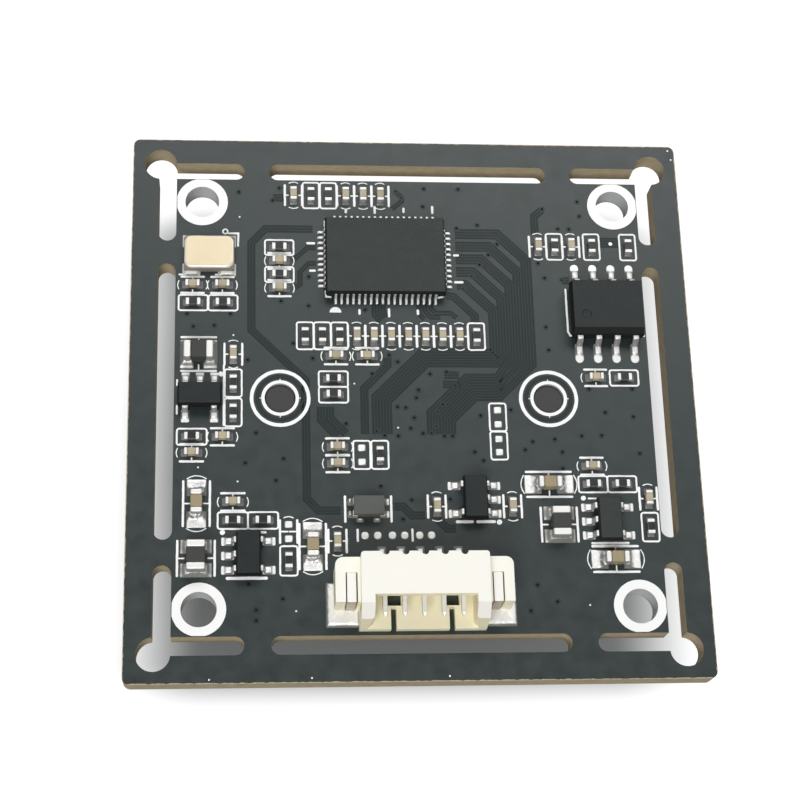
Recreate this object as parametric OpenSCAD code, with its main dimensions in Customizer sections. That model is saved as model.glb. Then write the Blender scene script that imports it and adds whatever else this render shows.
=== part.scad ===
// Board camera module, in millimetres.
// The lens points down and the module stands on the lens's front rim. Z = 0 is that rim, Z is the
// optical axis, +Y points away from the connector, and the component side of the board faces up.

/* [Board] */
// Side of the square board
board_side = 38; // [38:0.5:50]
// Thickness of the board
board_t = 1.6; // [0.8:0.1:2.4]
// Radius of the board's outer corners
board_corner_r = 0.5; // [0.1:0.1:2]
// Width of the strip outside the slots
rim_w = 1.8; // [1.2:0.1:4]
// Width of the routed slots
slot_w = 1.2; // [0.6:0.1:1.5]
// Length of the slot in the middle of each side
mid_slot_len = 19.3; // [10:0.1:24]
// Width of the bridges that hold the strip to the panel
bridge_w = 1.7; // [0.8:0.1:3]
// Radius of the round relief where two slots meet at a corner
relief_r = 1.1; // [0.8:0.1:1.4]

/* [Mounting holes] */
// Inside diameter of the plated corner holes
mount_hole_d = 2.3; // [1.6:0.1:2.6]
// Diameter of the bare metal pads round them
mount_pad_d = 3.5; // [3:0.1:3.5]
// Distance from a corner hole's axis to the panel's edges
mount_inset = 1.75; // [1.6:0.05:3]
// Thickness of the plating
plating_t = 0.05; // [0.03:0.01:0.1]

/* [Lens holder] */
// Distance between the two holder pegs
peg_spacing = 18; // [15:0.5:22]
// Inside diameter of the plated holes the pegs go through
peg_hole_d = 2.06; // [1.6:0.02:2.2]
// Diameter of the metal ring round each peg hole
peg_ring_d = 2.5; // [2.4:0.05:3]
// Radial clearance of a peg in its hole
peg_clear = 0.05; // [0.02:0.01:0.15]
// How far a peg's end lies under the component side
peg_recess = 0.15; // [0:0.05:0.5]
// Side of the square box over the sensor
box_side = 15; // [14.5:0.1:15.4]
// Height of that box
box_h = 5; // [4:0.1:6]
// Wall of the box
box_wall = 1.1; // [0.8:0.1:1.1]
// Thickness of the box's roof
roof_t = 1.2; // [0.8:0.1:1.6]
// Height of the threaded collar beyond the box
collar_h = 4.6; // [3:0.1:5.5]
// Wall of the threaded collar
collar_wall = 1.15; // [0.8:0.05:1.4]
// Radius of the ears
ear_r = 2.2; // [1.6:0.1:2.6]
// Thickness of the ears
ear_t = 2.5; // [1.5:0.1:3.5]

/* [Lens] */
// Length of the lens from front rim to rear end
lens_len = 13; // [10.8:0.1:18]
// Outside diameter of the lens thread
lens_thread_d = 12; // [11.5:0.1:12.5]
// Diameter of the lens head
lens_head_d = 14; // [13:0.1:16]
// Height of the lens head
lens_head_h = 3.6; // [3:0.1:4]
// Radial clearance between the lens and the holder's collar
lens_clear = 0.05; // [0.02:0.01:0.15]
// Diameter of the front glass
front_glass_d = 9.5; // [8.6:0.1:9.8]
// Diameter of the glass elements behind it
inner_glass_d = 7.5; // [6.4:0.1:8.4]
// Radial clearance of the glass in its bores
glass_clear = 0.05; // [0.02:0.01:0.1]
// Thickness of the infrared filter
filter_t = 0.4; // [0.2:0.05:0.6]

/* [Image sensor] */
// Gap between the lens's rear end and the sensor's cover glass
back_gap = 1.3; // [0.3:0.1:3]
// Side of the ceramic sensor package
sensor_side = 10; // [8:0.1:12]
// Height of the ceramic package
sensor_h = 1.2; // [0.8:0.1:1.6]
// Thickness of the sensor's cover glass
cover_t = 0.5; // [0.3:0.05:0.7]

/* [Chips] */
// Length of the image processor's body
processor_l = 8.2; // [7.4:0.1:10]
// Width of the image processor's body
processor_w = 5.6; // [4.8:0.1:6.4]
// Pitch of the image processor's leads
processor_pitch = 0.4; // [0.3:0.01:0.42]
// Length of the flash memory's body
flash_l = 4.9; // [4.6:0.1:5.5]
// Width of the flash memory's body
flash_w = 3.9; // [3.4:0.1:4.4]
// Length of the crystal
crystal_l = 3.4; // [2.5:0.1:3.8]
// Width of the crystal
crystal_w = 2.4; // [2:0.1:3]
// Length of the small chips
chip_l = 1; // [0.8:0.05:1.1]
// Width of the small chips
chip_w = 0.5; // [0.4:0.05:0.7]

/* [Connector] */
// Number of contacts
contacts = 5; // [4:1:7]
// Pitch of the contacts
contact_pitch = 1.25; // [1:0.05:1.5]
// Height of the connector above the board
conn_h = 3.4; // [3.2:0.1:4.5]
// Depth of the housing from its back to its lower front edge
conn_depth = 4.4; // [4.2:0.1:5]
// Distance from the housing's front to the panel's edge
conn_inset = 0.25; // [0.1:0.05:1]
// Thickness of the housing's floor
conn_floor = 0.6; // [0.4:0.05:0.8]
// Thickness of the housing's roof
conn_roof = 0.6; // [0.4:0.05:0.8]
// Thickness of the housing's side walls
conn_side = 0.85; // [0.6:0.05:1]
// Thickness of the housing's back wall
conn_back = 1; // [0.7:0.05:1.2]
// How far the housing's ears reach out on each side
conn_ear = 1.6; // [1.4:0.1:2]
// Height of the ears
conn_ear_h = 2.7; // [2:0.1:3]

/* [Hidden] */
$fn = 48;

// Heights
standoff = lens_len + back_gap + cover_t + sensor_h;
board_top = standoff + board_t;
// Inner panel, inside the slots
panel = board_side / 2 - rim_w - slot_w;
pad_trim = 0.05;
// Holes
mount_at = panel - mount_inset;
peg_at = peg_spacing / 2;
// A little more than a cut needs, so that it passes right through
eps = 0.1;

// A place on the panel: measured from the edge on side ax and ay, or from the centre line for 0
function at(ax, ay, x, y) = [ax * panel + x, ay * panel + y];

// Small chips in rows: the edges that a row is measured from, its first chip, the step to the next,
// their turn, and a letter for each chip: c for a capacitor, r for a resistor
CHIP_ROWS = [
    [0, 1, -8, -1.15, 1.2, 0, 90, "crrccc"],
    [0, 1, -7.3, -11.55, 1.16, 0, 90, "rrrcccccccr"],
    [0, 1, -9, -5.1, 0, -1, 0, "rcrc"],
    [0, 1, -5.25, -13, 2.1, 0, 0, "cc"],
    [0, 1, -5.45, -14.65, 0, -1.1, 0, "rr"],
    [-1, 1, 1.15, -7.9, 2, 0, 0, "cc"],
    [-1, 1, 1.2, -9.2, 2, 0, 0, "rr"],
    [-1, 0, 3.9, 3.1, 0, -2.05, 90, "crr"],
    [-1, 0, 1.2, -2.7, 2, 0, 0, "rc"],
    [-1, 0, 1.2, -3.8, 0, 0, 0, "c"],
    [-1, -1, 3.9, 8.85, 0, -1.25, 0, "cr"],
    [-1, -1, 5.85, 7.6, 0, 0, 0, "r"],
    [-1, -1, 7.5, 4.9, 0, 0, 90, "r"],
    [-1, -1, 10.65, 6.2, 0, 0, 90, "c"],
    [0, 0, -5.25, -3.4, 0, -1.15, 0, "cc"],
    [0, 0, -2.45, -3.95, 0, 0, 90, "r"],
    [1, 1, -7.15, -4.85, 1.15, 0, 90, "crc"],
    [1, 1, -3.4, -4.85, 2.55, 0, 90, "rr"],
    [1, 0, -3.7, 1.5, 1.95, 0, 0, "cr"],
    [0, -1, 1.2, 8.5, 5, 0, 90, "cc"],
    [1, -1, -4.35, 11.25, 0, -1.25, 0, "cr"],
    [1, -1, -2.4, 10, 0, 0, 0, "r"],
    [1, -1, -0.7, 9, 0, -1.95, 90, "cr"]
];
function places(kind) = [
    for (r = CHIP_ROWS)
        for (i = [0 : len(r[7]) - 1])
            if (r[7][i] == kind)
                [at(r[0], r[1], r[2] + i * r[4], r[3] + i * r[5]), r[6]]
];
CAPACITORS = places("c");
RESISTORS = places("r");
// Larger two-ended parts: place and turn
BULK_CAPACITORS = [
    [at(-1, -1, 1.55, 8.75), 90],
    [at(-1, -1, 9.05, 5.85), 90],
    [at(1, -1, -7.3, 10), 0],
    [at(1, -1, -3.15, 4.9), 0]
];
INDUCTORS = [
    [at(-1, 0, 1.6, 3.1), 0],
    [at(-1, -1, 1.55, 5.1), 90],
    [at(1, -1, -6.75, 7.25), 90]
];
processor_at = at(0, 1, -1.8, -5.95);
flash_at = at(1, 1, -2.8, -9.8);
crystal_at = at(-1, 1, 2.26, -5.74);
core_regulator_at = at(-1, 0, 1.7, 0.05);
sensor_regulator_at = at(-1, -1, 4.9, 5.25);
video_driver_at = at(0, -1, 3.7, 8.95);
input_regulator_at = at(1, -1, -3.5, 7.45);
choke_at = at(0, -1, -3.3, 8.4);

// Chip bodies: height, gap under the body, and how far the leads reach out
processor_h = 1;
flash_h = 1.45;
sot_l = 2.9;
sot_w = 1.6;
sot_h = 1.05;
sot_pitch = 0.95;
body_gap = 0.1;
mould_draft = 0.08;
mark_depth = 0.06;
chip_h = 0.5;
chip_end = 0.25;
bulk_l = 1.6;
bulk_w = 0.8;
bulk_h = 0.85;
bulk_end = 0.4;
inductor_l = 2;
inductor_w = 1.25;
inductor_h = 1.15;
inductor_end = 0.52;
choke_l = 2;
choke_w = 1.25;
choke_h = 0.9;
end_step = 0.02;

// Connector, with its front at conn_front and its open mouth towards -Y
conn_w = (contacts - 1) * contact_pitch + 3.15;
conn_front = -panel + conn_inset;
conn_y = conn_front + conn_depth;
conn_corner_r = 0.2;
roof_setback = 1.65;
post_setback = 1.1;
brow_setback = 0.25;
lead_in = 0.5;
contact_t = 0.3;
contact_z = board_top + conn_floor + (conn_h - conn_floor - conn_roof) / 2;
tail_reach = 0.85;
tail_t = 0.2;
tail_gap = 0.02;
groove_r = 0.24;
key_w = 0.35;
window_w = 1;
window_l = 0.8;
window_web = 0.12;
ear_l = 2.9;
ear_back = 0.2;
ear_lift = 0.2;
ear_corner_r = 0.5;
tab_inset = 0.2;
tab_foot = 0.35;
tab_w = 0.6;
tab_slot = 0.75;
tab_l = 1.9;

// Lens, from its front rim backwards
hood_reach = 0.8;
hood_d = front_glass_d + 2 * hood_reach;
hood_flare = 0.1;
hood_h = 0.9;
ring_h = 1;
ring_w = 0.55;
spanner_w = 0.6;
spanner_h = 0.4;
barrel_chamfer = 0.3;
neck_depth = 0.4;
neck_h = 0.5;
// Curved faces of the three glasses, front and rear, and the flat rim around them
front_curves = [9, -5.2];
middle_curves = [10, 14];
rear_curves = [12, 10];
front_rim = ring_w + 0.05;
middle_rim = 0.6;
rear_rim = 0.8;
stop_r = 1.3;
spacer_wall = 0.55;
seat_w = 0.6;
filter_r = inner_glass_d / 2 + 0.5;
filter_clear = 0.05;
front_seat = hood_h + ring_h;
front_edge_h = 2.6;
shoulder = front_seat + front_edge_h;
rear_lip = 0.5;
rear_stop = lens_len - filter_t - rear_lip;
rear_edge_h = 1.4;
middle_edge_h = 1;
stop_h = 2.2;
front_bore_r = front_glass_d / 2 + glass_clear;
inner_bore_r = inner_glass_d / 2 + glass_clear;
holder_front = standoff - box_h - collar_h;
bore_r = lens_thread_d / 2 + lens_clear;

// ---------- shared shapes ----------

// A rectangle with round corners, centred
module round_square(l, w, r) {
    square([l - 2 * r, w], center = true);
    square([l, w - 2 * r], center = true);
    for (x = [-1, 1], y = [-1, 1])
        translate([x * (l / 2 - r), y * (w / 2 - r)]) circle(r);
}

// A slot with round ends between two points on X
module capsule(x0, x1, w) {
    translate([x0 + w / 2, -w / 2]) square([x1 - x0 - w, w]);
    for (x = [x0 + w / 2, x1 - w / 2]) translate([x, 0]) circle(w / 2);
}

// A block that stands on z = 0, centred on X and Y
module block(l, w, h) translate([-l / 2, -w / 2, 0]) cube([l, w, h]);

// Places its children on the component side, at each place and turn of a list
module placed(list)
    for (p = list) translate([p[0][0], p[0][1], board_top]) rotate(p[1]) children();

// Side profile of a moulded chip body: widest at the lead band, drafted above and below it
module mould_profile(w, h, z0, band_z, band_t) polygon([
    [-w / 2 + mould_draft, z0], [w / 2 - mould_draft, z0],
    [w / 2, band_z - band_t / 2], [w / 2, band_z + band_t / 2],
    [w / 2 - mould_draft, h], [-w / 2 + mould_draft, h],
    [-w / 2, band_z + band_t / 2], [-w / 2, band_z - band_t / 2]
]);

// A moulded chip body with a round pin-one mark in its top
module moulded_body(l, w, h, band_z, band_t, mark_r = 0, mark_at = [0, 0]) difference() {
    intersection() {
        translate([0, w / 2 + eps, 0]) rotate([90, 0, 0]) linear_extrude(w + 2 * eps)
            mould_profile(l, h, body_gap, band_z, band_t);
        translate([-l / 2 - eps, 0, 0]) rotate([90, 0, 90]) linear_extrude(l + 2 * eps)
            mould_profile(w, h, body_gap, band_z, band_t);
    }
    if (mark_r > 0)
        translate([mark_at[0], mark_at[1], h - mark_depth]) cylinder(r = mark_r, h = mark_depth + eps);
}

// One gull-wing lead: leaves a body at y = 0, z = rise, and stands on the board at y = reach
module gull_lead(width, reach, rise, foot, t) {
    knee = reach - foot;
    translate([-width / 2, 0, 0]) rotate([90, 0, 90]) linear_extrude(width) polygon([
        [0, rise - t / 2], [knee * 0.3, rise - t / 2], [knee * 0.7, t * 0.4],
        [knee * 0.7 + t * 0.4, 0], [reach, 0], [reach, t], [knee + t * 0.4, t],
        [knee * 0.3 + t * 1.1, rise + t * 0.1], [knee * 0.3 + t * 0.5, rise + t / 2],
        [0, rise + t / 2]
    ]);
}

// A row of leads along X, on the +Y side of a body of the given width
module lead_row(list, body_w, width, reach, rise, foot, t)
    for (x = list) translate([x, body_w / 2, 0]) gull_lead(width, reach, rise, foot, t);

// Places on both sides of a centre, a pitch apart
function spread(n, pitch) = [for (i = [0 : n - 1]) (i - (n - 1) / 2) * pitch];

// The ceramic or ferrite middle of a two-ended part, and its two metal ends
module part_middle(l, w, h, end)
    translate([0, 0, end_step]) block(l - 2 * end, w - 2 * end_step, h - 2 * end_step);

module part_ends(l, w, h, end)
    for (x = [-1, 1]) translate([x * (l - end) / 2, 0, 0]) block(end, w, h);

// ---------- board ----------

// Cuts the four slots and the four cornered slots round the panel
module panel_slots() {
    arm = mid_slot_len / 2 + bridge_w;
    for (a = [0 : 90 : 270]) rotate(a) {
        translate([0, panel + slot_w / 2]) capsule(-mid_slot_len / 2, mid_slot_len / 2, slot_w);
        translate([0, panel + slot_w / 2]) capsule(arm, panel + relief_r, slot_w);
        translate([0, panel + slot_w / 2]) capsule(-panel - relief_r, -arm, slot_w);
        translate([panel + relief_r, panel + relief_r]) circle(relief_r);
    }
}

module circuit_board() color([0.22, 0.25, 0.26]) difference() {
    translate([0, 0, standoff]) linear_extrude(board_t)
        round_square(board_side, board_side, board_corner_r);
    translate([0, 0, standoff - eps]) linear_extrude(board_t + 2 * eps) panel_slots();
    for (x = [-1, 1], y = [-1, 1])
        translate([x * mount_at, y * mount_at, standoff - eps])
            cylinder(d = mount_hole_d + 2 * plating_t, h = board_t + 2 * eps);
    for (x = [-1, 1])
        translate([x * peg_at, 0, standoff - eps])
            cylinder(d = peg_hole_d + 2 * plating_t, h = board_t + 2 * eps);
}

// A plated hole: a thin tube with a flat ring on each side of the board
module plated_hole(hole_d, ring_d) translate([0, 0, standoff]) difference() {
    union() {
        cylinder(d = hole_d + 2 * plating_t, h = board_t);
        translate([0, 0, board_t]) cylinder(d = ring_d, h = plating_t);
        translate([0, 0, -plating_t]) cylinder(d = ring_d, h = plating_t);
    }
    translate([0, 0, -plating_t - eps]) cylinder(d = hole_d, h = board_t + 2 * plating_t + 2 * eps);
}

// The pads end just inside the panel's edges, where the slots were routed
module corner_hole_plating() color([0.93, 0.93, 0.9]) intersection() {
    for (x = [-1, 1], y = [-1, 1])
        translate([x * mount_at, y * mount_at, 0]) plated_hole(mount_hole_d, mount_pad_d);
    translate([0, 0, standoff - 2 * plating_t])
        block(2 * (panel - pad_trim), 2 * (panel - pad_trim), board_t + 4 * plating_t);
}

module peg_hole_plating() color([0.93, 0.93, 0.9])
    for (x = [-1, 1]) translate([x * peg_at, 0, 0]) plated_hole(peg_hole_d, peg_ring_d);

// ---------- chips ----------

processor_rise = 0.55;
lead_t = 0.13;
lead_w = 0.18;
lead_reach = 0.42;
lead_foot = 0.2;
module image_processor() color([0.2, 0.22, 0.21])
    translate([processor_at[0], processor_at[1], board_top])
        moulded_body(processor_l, processor_w, processor_h, processor_rise, lead_t);

module image_processor_leads() color([0.86, 0.87, 0.86])
    translate([processor_at[0], processor_at[1], board_top])
        for (a = [0, 180]) rotate(a) {
            lead_row(spread(18, processor_pitch), processor_w, lead_w, lead_reach, processor_rise,
                lead_foot, lead_t);
            rotate(90) lead_row(spread(11, processor_pitch), processor_l, lead_w, lead_reach,
                processor_rise, lead_foot, lead_t);
        }

flash_rise = 0.8;
flash_lead_t = 0.2;
flash_lead_w = 0.42;
flash_reach = 1.05;
flash_foot = 0.55;
flash_pitch = 1.27;
flash_mark_r = 0.3;
flash_chamfer = 0.4;
// The long edge beside pin one is chamfered
module flash_memory() color([0.12, 0.13, 0.13])
    translate([flash_at[0], flash_at[1], board_top]) difference() {
        cut = flash_chamfer * sqrt(2);
        moulded_body(flash_l, flash_w, flash_h, flash_rise, flash_lead_t, flash_mark_r,
            [-flash_l / 2 + 0.95, -flash_w / 2 + 1.35]);
        translate([-flash_l / 2 - eps, -flash_w / 2, flash_h]) rotate([45, 0, 0])
            translate([0, -cut / 2, -cut / 2]) cube([flash_l + 2 * eps, cut, cut]);
    }

module flash_memory_leads() color([0.86, 0.87, 0.86])
    translate([flash_at[0], flash_at[1], board_top]) for (a = [0, 180]) rotate(a)
        lead_row(spread(4, flash_pitch), flash_w, flash_lead_w, flash_reach, flash_rise, flash_foot,
            flash_lead_t);

crystal_base_h = 0.5;
crystal_lid_h = 0.3;
crystal_step = 0.06;
lid_corner_r = 0.5;
module crystal_base() color([0.75, 0.68, 0.55])
    translate([crystal_at[0], crystal_at[1], board_top]) linear_extrude(crystal_base_h)
        round_square(crystal_l, crystal_w, 0.15);

module crystal_lid() color([0.89, 0.77, 0.64])
    translate([crystal_at[0], crystal_at[1], board_top + crystal_base_h]) linear_extrude(crystal_lid_h)
        round_square(crystal_l - crystal_step, crystal_w - crystal_step, lid_corner_r);

sot_rise = 0.6;
sot_lead_t = 0.15;
sot_lead_w = 0.4;
sot_reach = 0.65;
sot_foot = 0.35;
module five_lead_body(place, turn) color([0.16, 0.17, 0.17])
    translate([place[0], place[1], board_top]) rotate(turn)
        moulded_body(sot_l, sot_w, sot_h, sot_rise, sot_lead_t);

// Three leads on the +Y side before the turn, and two on the other
module five_leads(place, turn) color([0.86, 0.87, 0.86])
    translate([place[0], place[1], board_top]) rotate(turn) {
        lead_row(spread(3, sot_pitch), sot_w, sot_lead_w, sot_reach, sot_rise, sot_foot, sot_lead_t);
        rotate(180) lead_row(spread(2, 2 * sot_pitch), sot_w, sot_lead_w, sot_reach, sot_rise,
            sot_foot, sot_lead_t);
    }

module core_regulator() five_lead_body(core_regulator_at, 0);
module core_regulator_leads() five_leads(core_regulator_at, 0);
module sensor_regulator() five_lead_body(sensor_regulator_at, 90);
module sensor_regulator_leads() five_leads(sensor_regulator_at, 90);
module video_driver() five_lead_body(video_driver_at, -90);
module video_driver_leads() five_leads(video_driver_at, -90);
module input_regulator() five_lead_body(input_regulator_at, 90);
module input_regulator_leads() five_leads(input_regulator_at, 90);

module power_inductors() color([0.2, 0.2, 0.2])
    placed(INDUCTORS) part_middle(inductor_l, inductor_w, inductor_h, inductor_end);
module power_inductor_ends() color([0.88, 0.88, 0.86])
    placed(INDUCTORS) part_ends(inductor_l, inductor_w, inductor_h, inductor_end);

// The choke has four ends, two on each short side, in notches of its dark block
choke_end_w = 0.4;
choke_end_l = 0.3;
choke_end_inset = 0.1;
module choke_corners() for (x = [-1, 1], y = [-1, 1])
    translate([x * (choke_l - choke_end_l) / 2, y * (choke_w / 2 - choke_end_w / 2 - choke_end_inset), 0])
        children();
module line_choke() color([0.24, 0.25, 0.26])
    translate([choke_at[0], choke_at[1], board_top]) difference() {
        translate([0, 0, end_step]) block(choke_l, choke_w, choke_h - end_step);
        choke_corners() translate([0, 0, -eps]) block(choke_end_l, choke_end_w, choke_h + 2 * eps);
    }
module line_choke_ends() color([0.88, 0.88, 0.86])
    translate([choke_at[0], choke_at[1], board_top])
        choke_corners() block(choke_end_l, choke_end_w, choke_h);

module bulk_capacitors() color([0.66, 0.55, 0.42])
    placed(BULK_CAPACITORS) part_middle(bulk_l, bulk_w, bulk_h, bulk_end);
module bulk_capacitor_ends() color([0.92, 0.91, 0.88])
    placed(BULK_CAPACITORS) part_ends(bulk_l, bulk_w, bulk_h, bulk_end);

module small_capacitors() color([0.69, 0.57, 0.42])
    placed(CAPACITORS) part_middle(chip_l, chip_w, chip_h, chip_end);
module small_capacitor_ends() color([0.92, 0.91, 0.88])
    placed(CAPACITORS) part_ends(chip_l, chip_w, chip_h, chip_end);

// A resistor is flatter: a white ceramic strip with a black coat on top
resistor_h = 0.35;
coat_t = 0.05;
module small_resistors() color([0.9, 0.9, 0.88])
    placed(RESISTORS) part_middle(chip_l, chip_w, resistor_h, chip_end);
module resistor_coats() color([0.1, 0.1, 0.11])
    placed(RESISTORS) translate([0, 0, resistor_h - end_step])
        block(chip_l - 2 * chip_end, chip_w - 4 * end_step, coat_t);
module small_resistor_ends() color([0.92, 0.91, 0.88])
    placed(RESISTORS) part_ends(chip_l, chip_w, resistor_h, chip_end);

// ---------- connector ----------

// Side view of the housing: the roof ends early, and the side walls slope down to the front
module conn_side_view() polygon([
    [conn_y, 0], [conn_y, conn_h], [conn_front + post_setback, conn_h],
    [conn_front + brow_setback, conn_h - (post_setback - brow_setback)], [conn_front, conn_floor],
    [conn_front, 0]
]);

// Seen from above, the housing has round corners at its back
module conn_plan() translate([-conn_w / 2, conn_front]) {
    r = conn_corner_r;
    square([conn_w, conn_depth - r]);
    translate([r, 0]) square([conn_w - 2 * r, conn_depth]);
    for (x = [r, conn_w - r]) translate([x, conn_depth - r]) circle(r);
}

// One of the ears, on the +X side: it holds a metal tab in a slot that is open to the front
module conn_ear_shape() {
    r = ear_corner_r;
    translate([conn_w / 2, conn_y - ear_back - ear_l, 0]) difference() {
        translate([-eps, 0, ear_lift]) linear_extrude(conn_ear_h - ear_lift) {
            square([conn_ear + eps - r, ear_l]);
            square([conn_ear + eps, ear_l - r]);
            translate([conn_ear + eps - r, ear_l - r]) circle(r);
        }
        translate([tab_inset, -eps, 0]) cube([tab_slot, tab_l + eps, conn_h]);
    }
}

module connector_housing() color([1, 0.97, 0.88]) translate([0, 0, board_top]) difference() {
    union() {
        intersection() {
            translate([-conn_w / 2, 0, 0]) rotate([90, 0, 90]) linear_extrude(conn_w)
                conn_side_view();
            linear_extrude(conn_h) conn_plan();
        }
        conn_ear_shape();
        mirror([1, 0, 0]) conn_ear_shape();
    }
    // mouth
    mouth_w = conn_w - 2 * conn_side;
    translate([-mouth_w / 2, conn_front - eps, conn_floor])
        cube([mouth_w, conn_depth - conn_back + eps, conn_h - conn_floor - conn_roof]);
    // the roof ends short of the front
    translate([-mouth_w / 2, conn_front - eps, conn_floor])
        cube([mouth_w, roof_setback + eps, conn_h]);
    // lead-in slopes on the inner edges of the side walls
    for (s = [0, 1]) mirror([s, 0, 0]) translate([mouth_w / 2, conn_front, conn_floor])
        rotate(45) block(lead_in, lead_in, conn_h);
    // keyways through the floor, each with a window behind it
    for (s = [-1, 1]) translate([s * (contacts - 2) * contact_pitch / 2, conn_front, -eps]) {
        key_l = roof_setback - brow_setback;
        translate([-key_w / 2, -eps, 0]) cube([key_w, key_l + eps, conn_floor + 2 * eps]);
        translate([-window_w / 2, key_l + window_web, 0])
            cube([window_w, window_l, conn_floor + 2 * eps]);
    }
    // grooves for the tails in the back, and the holes the contacts pass through
    for (x = spread(contacts, contact_pitch)) {
        translate([x, conn_y, -eps]) cylinder(r = groove_r, h = conn_h + 2 * eps);
        translate([x - contact_t / 2, conn_y - conn_back - eps, contact_z - board_top - contact_t / 2])
            cube([contact_t, conn_back + 2 * eps, contact_t]);
    }
}

// A contact: a pointed pin in the mouth, which turns down behind the housing to a foot on the board
module connector_pins() color([0.92, 0.9, 0.84])
    for (x = spread(contacts, contact_pitch)) translate([x, 0, board_top]) {
        z = contact_z - board_top;
        t = contact_t;
        tip = conn_front + 0.5;
        back = conn_y + tail_gap;
        end = conn_y + tail_reach;
        intersection() {
            translate([-t, 0, 0]) rotate([90, 0, 90]) linear_extrude(2 * t) polygon([
                [tip, z], [tip + t, z - t / 2], [back, z - t / 2], [back, 0.15],
                [back + 0.15, 0], [end, 0], [end, tail_t],
                [back + tail_t + 0.25, tail_t], [back + tail_t, tail_t + 0.25],
                [back + tail_t, z + t / 2], [tip + t, z + t / 2]
            ]);
            translate([0, 0, -eps]) linear_extrude(conn_h) polygon([
                [0, tip], [t / 2, tip + t], [t / 2, end + eps], [-t / 2, end + eps], [-t / 2, tip + t]
            ]);
        }
    }

// A solder tab stands in each ear and turns out to a foot on the board
module connector_solder_tabs() color([0.9, 0.9, 0.87]) for (s = [0, 1]) mirror([s, 0, 0])
    translate([conn_w / 2 + tab_inset + tab_slot / 2, conn_y - ear_back - ear_l, board_top]) {
        translate([-tab_w / 2, 0, 0]) cube([tab_w, tab_l, conn_ear_h - 0.05]);
        translate([-tab_w / 2, -tab_foot, 0]) cube([tab_w, tab_foot, tail_t]);
    }

// ---------- image sensor ----------

sensor_wall = 0.8;
sensor_base = 0.5;
cover_inset = 0.3;
module image_sensor() color([0.8, 0.78, 0.72]) difference() {
    translate([0, 0, standoff - sensor_h]) block(sensor_side, sensor_side, sensor_h);
    translate([0, 0, standoff - sensor_h - eps])
        block(sensor_side - 2 * sensor_wall, sensor_side - 2 * sensor_wall,
            sensor_h - sensor_base + eps);
}

die_t = 0.3;
die_l = 6;
die_w = 5;
module sensor_die() color([0.25, 0.35, 0.4])
    translate([0, 0, standoff - sensor_base - die_t]) block(die_l, die_w, die_t);

module sensor_cover_glass() color([0.75, 0.85, 0.9, 0.4])
    translate([0, 0, standoff - sensor_h - cover_t])
        block(sensor_side - 2 * cover_inset, sensor_side - 2 * cover_inset, cover_t);

// ---------- lens holder ----------

box_corner_r = 1;
mouth_chamfer = 0.4;
gusset_t = 1;
gusset_h = 2.4;
gusset_reach = 1.9;
gusset_root = 0.5;
module lens_holder() color([0.08, 0.08, 0.09]) difference() {
    union() {
        translate([0, 0, standoff - box_h]) linear_extrude(box_h)
            round_square(box_side, box_side, box_corner_r);
        translate([0, 0, holder_front]) cylinder(r = bore_r + collar_wall, h = collar_h + roof_t);
        translate([0, 0, standoff - ear_t]) linear_extrude(ear_t)
            capsule(-peg_at - ear_r, peg_at + ear_r, 2 * ear_r);
        for (x = [-1, 1]) translate([x * peg_at, 0, standoff - eps])
            cylinder(d = peg_hole_d - 2 * peg_clear, h = board_t - peg_recess + eps);
        // gussets between the collar and the box's corners
        for (a = [45 : 90 : 315]) rotate([0, 0, a]) rotate([90, 0, 0])
            translate([0, 0, -gusset_t / 2]) linear_extrude(gusset_t) polygon([
                [bore_r + gusset_root, standoff - box_h + gusset_root],
                [bore_r + gusset_root, standoff - box_h - gusset_h],
                [bore_r + collar_wall + gusset_reach, standoff - box_h],
                [bore_r + collar_wall + gusset_reach, standoff - box_h + gusset_root]
            ]);
    }
    translate([0, 0, holder_front - eps]) cylinder(r = bore_r, h = collar_h + box_h + eps);
    translate([0, 0, holder_front - eps])
        cylinder(r1 = bore_r + mouth_chamfer + eps, r2 = bore_r, h = mouth_chamfer + eps);
    translate([0, 0, standoff - box_h + roof_t]) linear_extrude(box_h)
        round_square(box_side - 2 * box_wall, box_side - 2 * box_wall, 0.4);
    // a shallow recess in each ear clears the plated ring under the board
    for (x = [-1, 1]) translate([x * peg_at, 0, standoff - 2 * plating_t]) difference() {
        cylinder(d = peg_ring_d + 4 * plating_t, h = 2 * plating_t + eps);
        translate([0, 0, -eps]) cylinder(d = peg_hole_d - 2 * peg_clear, h = 3 * eps);
    }
}

// Three short beads of glue lock the lens in the holder's mouth
glue_w = 1.1;
glue_h = 0.6;
glue_skin = 0.25;
module focus_glue() color([0.85, 0.83, 0.75])
    for (a = [30 : 120 : 270]) rotate(a) rotate_extrude(angle = 34) polygon([
        [lens_thread_d / 2, holder_front - glue_h],
        [lens_thread_d / 2 + glue_skin, holder_front - glue_h + 0.02],
        [lens_thread_d / 2 + glue_w / 2, holder_front - glue_h * 0.7],
        [lens_thread_d / 2 + glue_w, holder_front],
        [lens_thread_d / 2, holder_front]
    ]);

// ---------- lens ----------

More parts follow.
